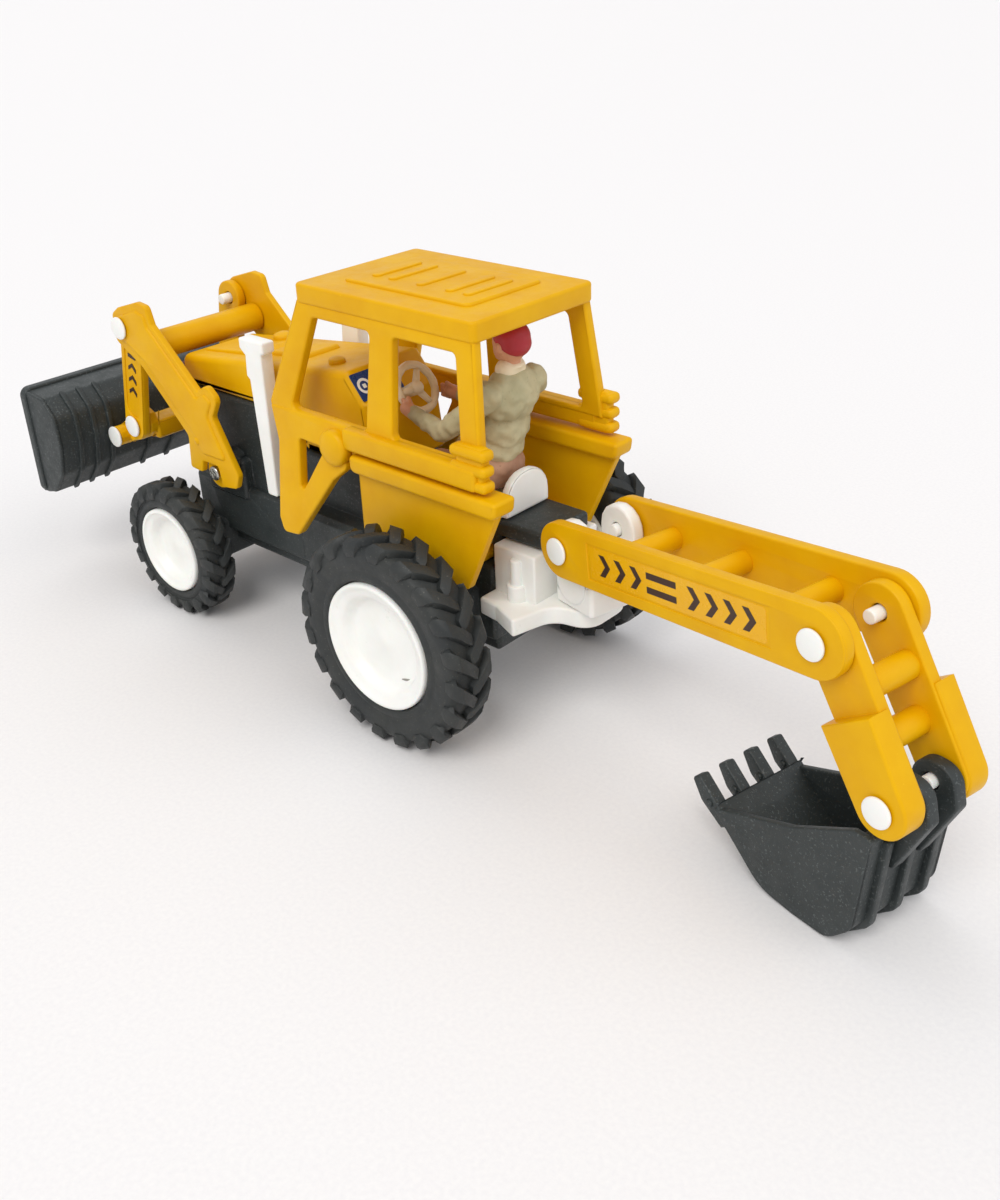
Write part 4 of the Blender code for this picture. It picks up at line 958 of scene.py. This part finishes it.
def grown(bm, voxel=0.32, smooth=6, wrinkle=0.0, scale=0.4):
    """One skin round overlapping shapes given in millimetres, wrinkled by up to so many."""
    mesh = mesh_of(bm)
    mesh.transform(TO_WORLD)
    made = applied(
        mesh,
        ("REMESH", {"mode": "VOXEL", "voxel_size": voxel * MM, "use_smooth_shade": True}),
        ("SMOOTH", {"factor": 0.6, "iterations": smooth}),
    )
    if wrinkle:
        normals = [vertex.normal.copy() for vertex in made.vertices]
        for vertex, normal in zip(made.vertices, normals):
            lift = noise.noise(vertex.co / MM * scale)
            vertex.co += normal * lift * wrinkle * MM
    made.shade_smooth()
    return made


def figure(name, bm, finish, replaced=(), **how):
    shown(name, grown(bm, **how), finish, "tractor", replaced)


def build_driver():
    shirt = bmesh.new()
    ball(shirt, (-10.4, 0, 88.0), (5.3, 9.6, 7.4))
    ball(shirt, (-8.6, 0, 80.0), (4.9, 7.2, 7.4))
    ball(shirt, (-7.0, 0, 73.5), (4.8, 6.9, 5.0))
    for _, side in SIDES:
        ball(shirt, (-10.4, side * 8.6, 90.0), (3.9, 3.5, 3.6))
        capsule(shirt, (-10.2, side * 9.4, 89.0), (3.6, side * 11.2, 77.8), 3.3, 2.7)
        capsule(shirt, (3.6, side * 11.2, 77.8), (15.8, side * 9.3, 79.6), 2.7, 2.1)
    figure("driver_shirt", shirt, SHIRT, ["driver_figure"], wrinkle=0.55, scale=0.42)
    collar = bmesh.new()
    capsule(collar, (-10.4, -1.6, 94.6), (-10.4, 1.6, 94.6), 2.9, 2.9)
    ball(collar, (-10.5, 0, 95.3), (3.5, 3.6, 1.3), 0.15)
    figure("driver_collar", collar, CREAM)
    trousers = bmesh.new()
    ball(trousers, (-6.3, 0, 67.5), (5.0, 7.5, 5.8))
    for _, side in SIDES:
        capsule(trousers, (-5.4, side * 4.2, 65.6), (11, side * 5.2, 66.3), 3.9, 3.3)
        capsule(trousers, (11, side * 5.2, 66.3), (12.4, side * 5.2, 52.5), 3.2, 2.6)
    figure("driver_trousers", trousers, TROUSERS, wrinkle=0.35, scale=0.5)
    boots = bmesh.new()
    for _, side in SIDES:
        capsule(boots, (12.4, side * 5.2, 50.2), (16.2, side * 5.3, 49.3), 2.4, 1.9)
        capsule(boots, (12.4, side * 5.2, 50.4), (12.4, side * 5.2, 53.0), 2.4, 2.6)
    figure("driver_boots", boots, BOOTS)
    hands = bmesh.new()
    for _, side in SIDES:
        capsule(hands, (16.2, side * 9.2, 79.7), (19.2, side * 8.5, 80.2), 1.9, 1.9)
        for k in range(4):
            top = Vector((19.6, side * 8.4, 81.3 - 0.9 * k))
            capsule(hands, top, top + Vector((1.9, side * -0.9, 0.4)), 0.75, 0.6)
        capsule(hands, (18.0, side * 8.2, 81.2), (19.6, side * 7.4, 82.6), 0.8, 0.65)
    figure("driver_hands", hands, SKIN, voxel=0.2, smooth=3)
    head = bmesh.new()
    ball(head, (-10.7, 0, 101.6), (4.7, 4.3, 5.0))
    ball(head, (-9.3, 0, 99.6), (3.4, 3.3, 3.6))
    capsule(head, (-10.8, 0, 94.5), (-10.6, 0, 99.0), 2.5, 2.4)
    capsule(head, (-6.3, 0, 101.8), (-5.6, 0, 100.6), 0.5, 0.75)
    ball(head, (-7.2, 0, 97.4), (1.3, 1.5, 1.1))
    for _, side in SIDES:
        ball(head, (-10.6, side * 4.25, 101.0), (1.0, 0.7, 1.5))
    figure("driver_head", head, SKIN, voxel=0.2, smooth=4)
    face = bmesh.new()
    for _, side in SIDES:
        ball(face, (-6.55, side * 1.5, 102.1), (0.28, 0.48, 0.34))
        capsule(face, (-6.6, side * 0.9, 103.1), (-6.75, side * 2.1, 103.1), 0.2, 0.16)
    capsule(face, (-6.35, -0.8, 98.9), (-6.35, 0.8, 98.9), 0.18, 0.18)
    figure("driver_face_paint", face, BOOTS, voxel=0.1, smooth=1)
    cap = bmesh.new()
    ball(cap, (-11.1, 0, 102.9), (4.9, 4.7, 4.35))
    ball(cap, (-12.0, 0, 101.4), (4.2, 4.5, 3.6))
    whole = grown(cap, smooth=5)
    bm = bmesh.new()
    bm.from_mesh(whole)
    bmesh.ops.bisect_plane(
        bm, geom=bm.verts[:] + bm.edges[:] + bm.faces[:],
        plane_co=TO_WORLD @ Vector((-7.4, 0, 103.5)),
        plane_no=Vector((0.55, 0, -0.83)), clear_outer=True,
    )
    bmesh.ops.holes_fill(bm, edges=[edge for edge in bm.edges if edge.is_boundary])
    shown("driver_cap", smooth_mesh(bm), CAP, "tractor")


# ---- steering wheel

WHEEL_HUB = (24.0, 0, 82.5)
COLUMN_DEGREES = 28


def build_steering_wheel():
    """A ring, three spokes and a hub; the ring swells a little between the fingers."""
    major, minor = 6.4, 1.1
    bm = bmesh.new()
    around, across = 56, 14
    rings = []
    for i in range(around):
        t = FULL_TURN * i / around
        swell = minor * (1 + 0.05 * math.cos(12 * t))
        rings.append([
            bm.verts.new((
                (major + swell * math.cos(s)) * math.cos(t),
                (major + swell * math.cos(s)) * math.sin(t), swell * math.sin(s),
            )) for s in (FULL_TURN * j / across for j in range(across))
        ])
    for i in range(around):
        a, b = rings[i], rings[(i + 1) % around]
        for j in range(across):
            bm.faces.new((a[j], b[j], b[(j + 1) % across], a[(j + 1) % across]))
    capsule(bm, (0, 0, -5.0), (0, 0, 0.2), 1.6, 1.9)
    for k in range(3):
        t = math.radians(90 + 120 * k)
        capsule(bm, (0, 0, -0.3), (6.0 * math.cos(t), 6.0 * math.sin(t), 0), 1.15, 0.75)
    tilt = Matrix.Rotation(-(math.pi / 2 - math.radians(COLUMN_DEGREES)), 4, "Y")
    mesh = mesh_of(bm)
    mesh.transform(TO_WORLD @ Matrix.Translation(WHEEL_HUB) @ tilt)
    shown_for("steering_wheel", mesh)


# ---- labels

LABEL_DEPTH = 0.15  # how far a label reaches into its plate
FILM_HEIGHT, INK_HEIGHT = 0.06, 0.10


def prism(bm, outline, place, height):
    """A flat outline of (u, v) points raised by height along the place matrix's third axis."""
    low = [bm.verts.new(place @ Vector((u, v, -LABEL_DEPTH))) for u, v in outline]
    high = [bm.verts.new(place @ Vector((u, v, height))) for u, v in outline]
    n = len(outline)
    bm.faces.new(high)
    bm.faces.new(low[::-1])
    for k in range(n):
        bm.faces.new((low[k], low[(k + 1) % n], high[(k + 1) % n], high[k]))


def chevron(u, height, thick, lean):
    return [(u, -height), (u + thick, -height), (u + thick + lean, 0), (u + thick, height),
            (u, height), (u + lean, 0)]


def basis(origin, u_axis, v_axis):
    """A matrix whose first two axes lie in a face and whose third points out of it."""
    u = Vector(u_axis).normalized()
    v = Vector(v_axis).normalized()
    n = u.cross(v)
    made = Matrix((u, v, n)).transposed().to_4x4()
    made.translation = Vector(origin)
    return made


def beside_plate(start, end, side, y):
    """The place midway between two hinge centres (x, z), y out from the toy's middle."""
    start, end = (Vector((x, 0, z)) for x, z in (start, end))
    right = (end - start).normalized()
    middle = start.lerp(end, 0.5) + Vector((0, side * y, 0))
    return middle, right


def label(name, bm, finish, body, place=TO_WORLD):
    mesh = mesh_of(bm, smooth=False)
    mesh.transform(place)
    shown(name, mesh, finish, body)


def build_boom_label(name, side):
    """A clear film printed with chevrons and two bars, in the boom's recess."""
    middle, along = beside_plate(BOOM_PIN, ELBOW_PIN, side, 12.7)
    right = along * side
    place = basis(middle, right, Vector((0, side, 0)).cross(right))
    film = bmesh.new()
    prism(film, rectangle(0, 0, 28.2, 4.1, 0.8), place, FILM_HEIGHT)
    ink = bmesh.new()
    marks = [chevron(u, 2.7, 1.9, 2.1) for u in (-25.0, -19.5, -14.0)]
    marks += [rectangle(-3.4, v, 4.9, 0.8) for v in (1.75, -1.75)]
    marks += [chevron(u, 2.7, 1.9, 2.1) for u in (5.0, 10.5, 16.0, 21.5)]
    for mark in marks:
        prism(ink, mark, place, INK_HEIGHT)
    for bm, kind, finish in ((film, "film", FILM), (ink, "marks", INK)):
        label(f"boom_label_{kind}_{name}", bm, finish, "boom", TO_WORLD @ SWING)


def build_link_label(name, side):
    middle, right = beside_plate(LOWER_PIN, UPPER_PIN, side, 20.2)
    place = basis(middle, right, Vector((0, side, 0)).cross(right))
    ink = bmesh.new()
    for mark in (*(chevron(u, 1.9, 1.3, 1.6) for u in (-6.6, -2.4, 1.8)),
                 rectangle(7.0, 0, 0.6, 1.9)):
        prism(ink, mark, place, INK_HEIGHT)
    label(f"link_label_{name}", ink, INK, "loader_links")


def build_dash_label():
    """A blue sticker with a plain white ring on the sloping dash."""
    back, foot = (Vector((x, 0, z)) for x, z in (HOOD_BACK, DASH_FOOT))
    place = basis(Vector((33.0, 6.0, 84.15)), Vector((0, -1, 0)), (back - foot).normalized())
    sheet = bmesh.new()
    prism(sheet, rectangle(0, 0, 7.6, 4.1, 0.5), place, 0.08)
    label("dash_label_sheet", sheet, BLUE, "tractor")
    marks = bmesh.new()
    centre, inside, outside = -4.6, 1.5, 2.3
    rays = [(math.cos(t), math.sin(t)) for t in (FULL_TURN * k / 24 for k in range(24))]
    for a, b in zip(rays, rays[1:] + rays[:1]):
        quad = [(a, inside), (a, outside), (b, outside), (b, inside)]
        prism(marks, [(ray[0] * r + centre, ray[1] * r) for ray, r in quad], place, 0.14)
    prism(marks, rectangle(centre, 0, 0.6, 0.6), place, 0.14)
    label("dash_label_ring", marks, WHITE, "tractor")


# ---- stage

FLOOR_HALF = 60.0
WORLD_STRENGTH = 0.64
# Name, where the light comes from, power, softness in degrees, colour.
LAMPS = (
    ("key", (-0.25, 0.75, 0.95), 1.42, 34, (1.0, 0.985, 0.955)),
    ("fill", (-0.9, -0.3, 0.9), 0.55, 60, (0.96, 0.975, 1.0)),
    ("rim", (0.8, -0.35, 0.9), 0.42, 50, (1.0, 1.0, 1.0)),
)
CAMERA_PLACE = Vector((-0.2238, 0.22429, 0.19475))
CAMERA_AIM = Vector((-0.01498, -0.00155, 0.025))
CAMERA_ROLL = 0.04
LENS_MM = 37.44


def build_stage():
    bm = bmesh.new()
    bmesh.ops.create_grid(bm, x_segments=2, y_segments=2, size=FLOOR_HALF)
    floor = placed("floor", mesh_of(bm))
    made = Nodes("floor_paper")
    tone = made.spread(made.noise(900, 3.0), 0.3, 0.7, 0.0, 1.0)
    made.link(made.mix(tone, rgb(240, 238, 237), rgb(235, 233, 233)),
              made.shader.inputs["Base Color"])
    made.shader.inputs["Roughness"].default_value = 0.8
    floor.data.materials.append(made.material)


def build_light():
    """A pale sky and distant soft lamps that shine from their places towards the toy."""
    world = bpy.data.worlds.new("studio")
    world.use_nodes = True
    background = world.node_tree.nodes["Background"]
    background.inputs["Color"].default_value = (*rgb(246, 247, 250), 1.0)
    background.inputs["Strength"].default_value = WORLD_STRENGTH
    bpy.context.scene.world = world
    for name, place, power, softness, colour in LAMPS:
        lamp = bpy.data.lights.new(name, "SUN")
        lamp.energy = power
        lamp.angle = math.radians(softness)
        lamp.color = colour
        placed(name, lamp).rotation_euler = (
            (-Vector(place)).to_track_quat("-Z", "Y").to_euler()
        )


def build_camera():
    """The photo's camera: behind the toy, to its left and above it, with a slight roll."""
    lens = bpy.data.cameras.new("camera")
    lens.lens = LENS_MM
    lens.sensor_width = 36.0
    lens.clip_start = 0.01
    camera = placed("camera", lens)
    forward = (CAMERA_AIM - CAMERA_PLACE).normalized()
    level = forward.cross(Vector((0, 0, 1))).normalized()
    below = forward.cross(level)
    right = level * math.cos(CAMERA_ROLL) + below * math.sin(CAMERA_ROLL)
    down = below * math.cos(CAMERA_ROLL) - level * math.sin(CAMERA_ROLL)
    turn = Matrix((right, -down, -forward)).transposed().to_4x4()
    camera.matrix_world = Matrix.Translation(CAMERA_PLACE) @ turn
    bpy.context.scene.camera = camera


# ---- the toy and its stage

for node, width in SOFT_EDGES.items():
    shown_for(node, bevelled(cleaned(node), width * MM))
for side_name, side in SIDES:
    build_wheel("rear", side_name, side)
    build_wheel("front", side_name, side)
build_driver()
build_steering_wheel()
for side_name, side in SIDES:
    build_loader_arm(side_name, side)
    build_loader_link(side_name, side)
    build_boom(side_name, side)
    build_stick(side_name, side)
    build_boom_label(side_name, side)
    build_link_label(side_name, side)
for build in (
    build_cab, build_rear_body, build_hood, build_exhausts, build_stabiliser,
    build_loader_bucket, build_backhoe_bucket, build_pins, build_rim_slot_shades, build_dash_label,
    build_stage, build_light, build_camera,
):
    build()
bpy.context.scene.view_settings.view_transform = "Standard"
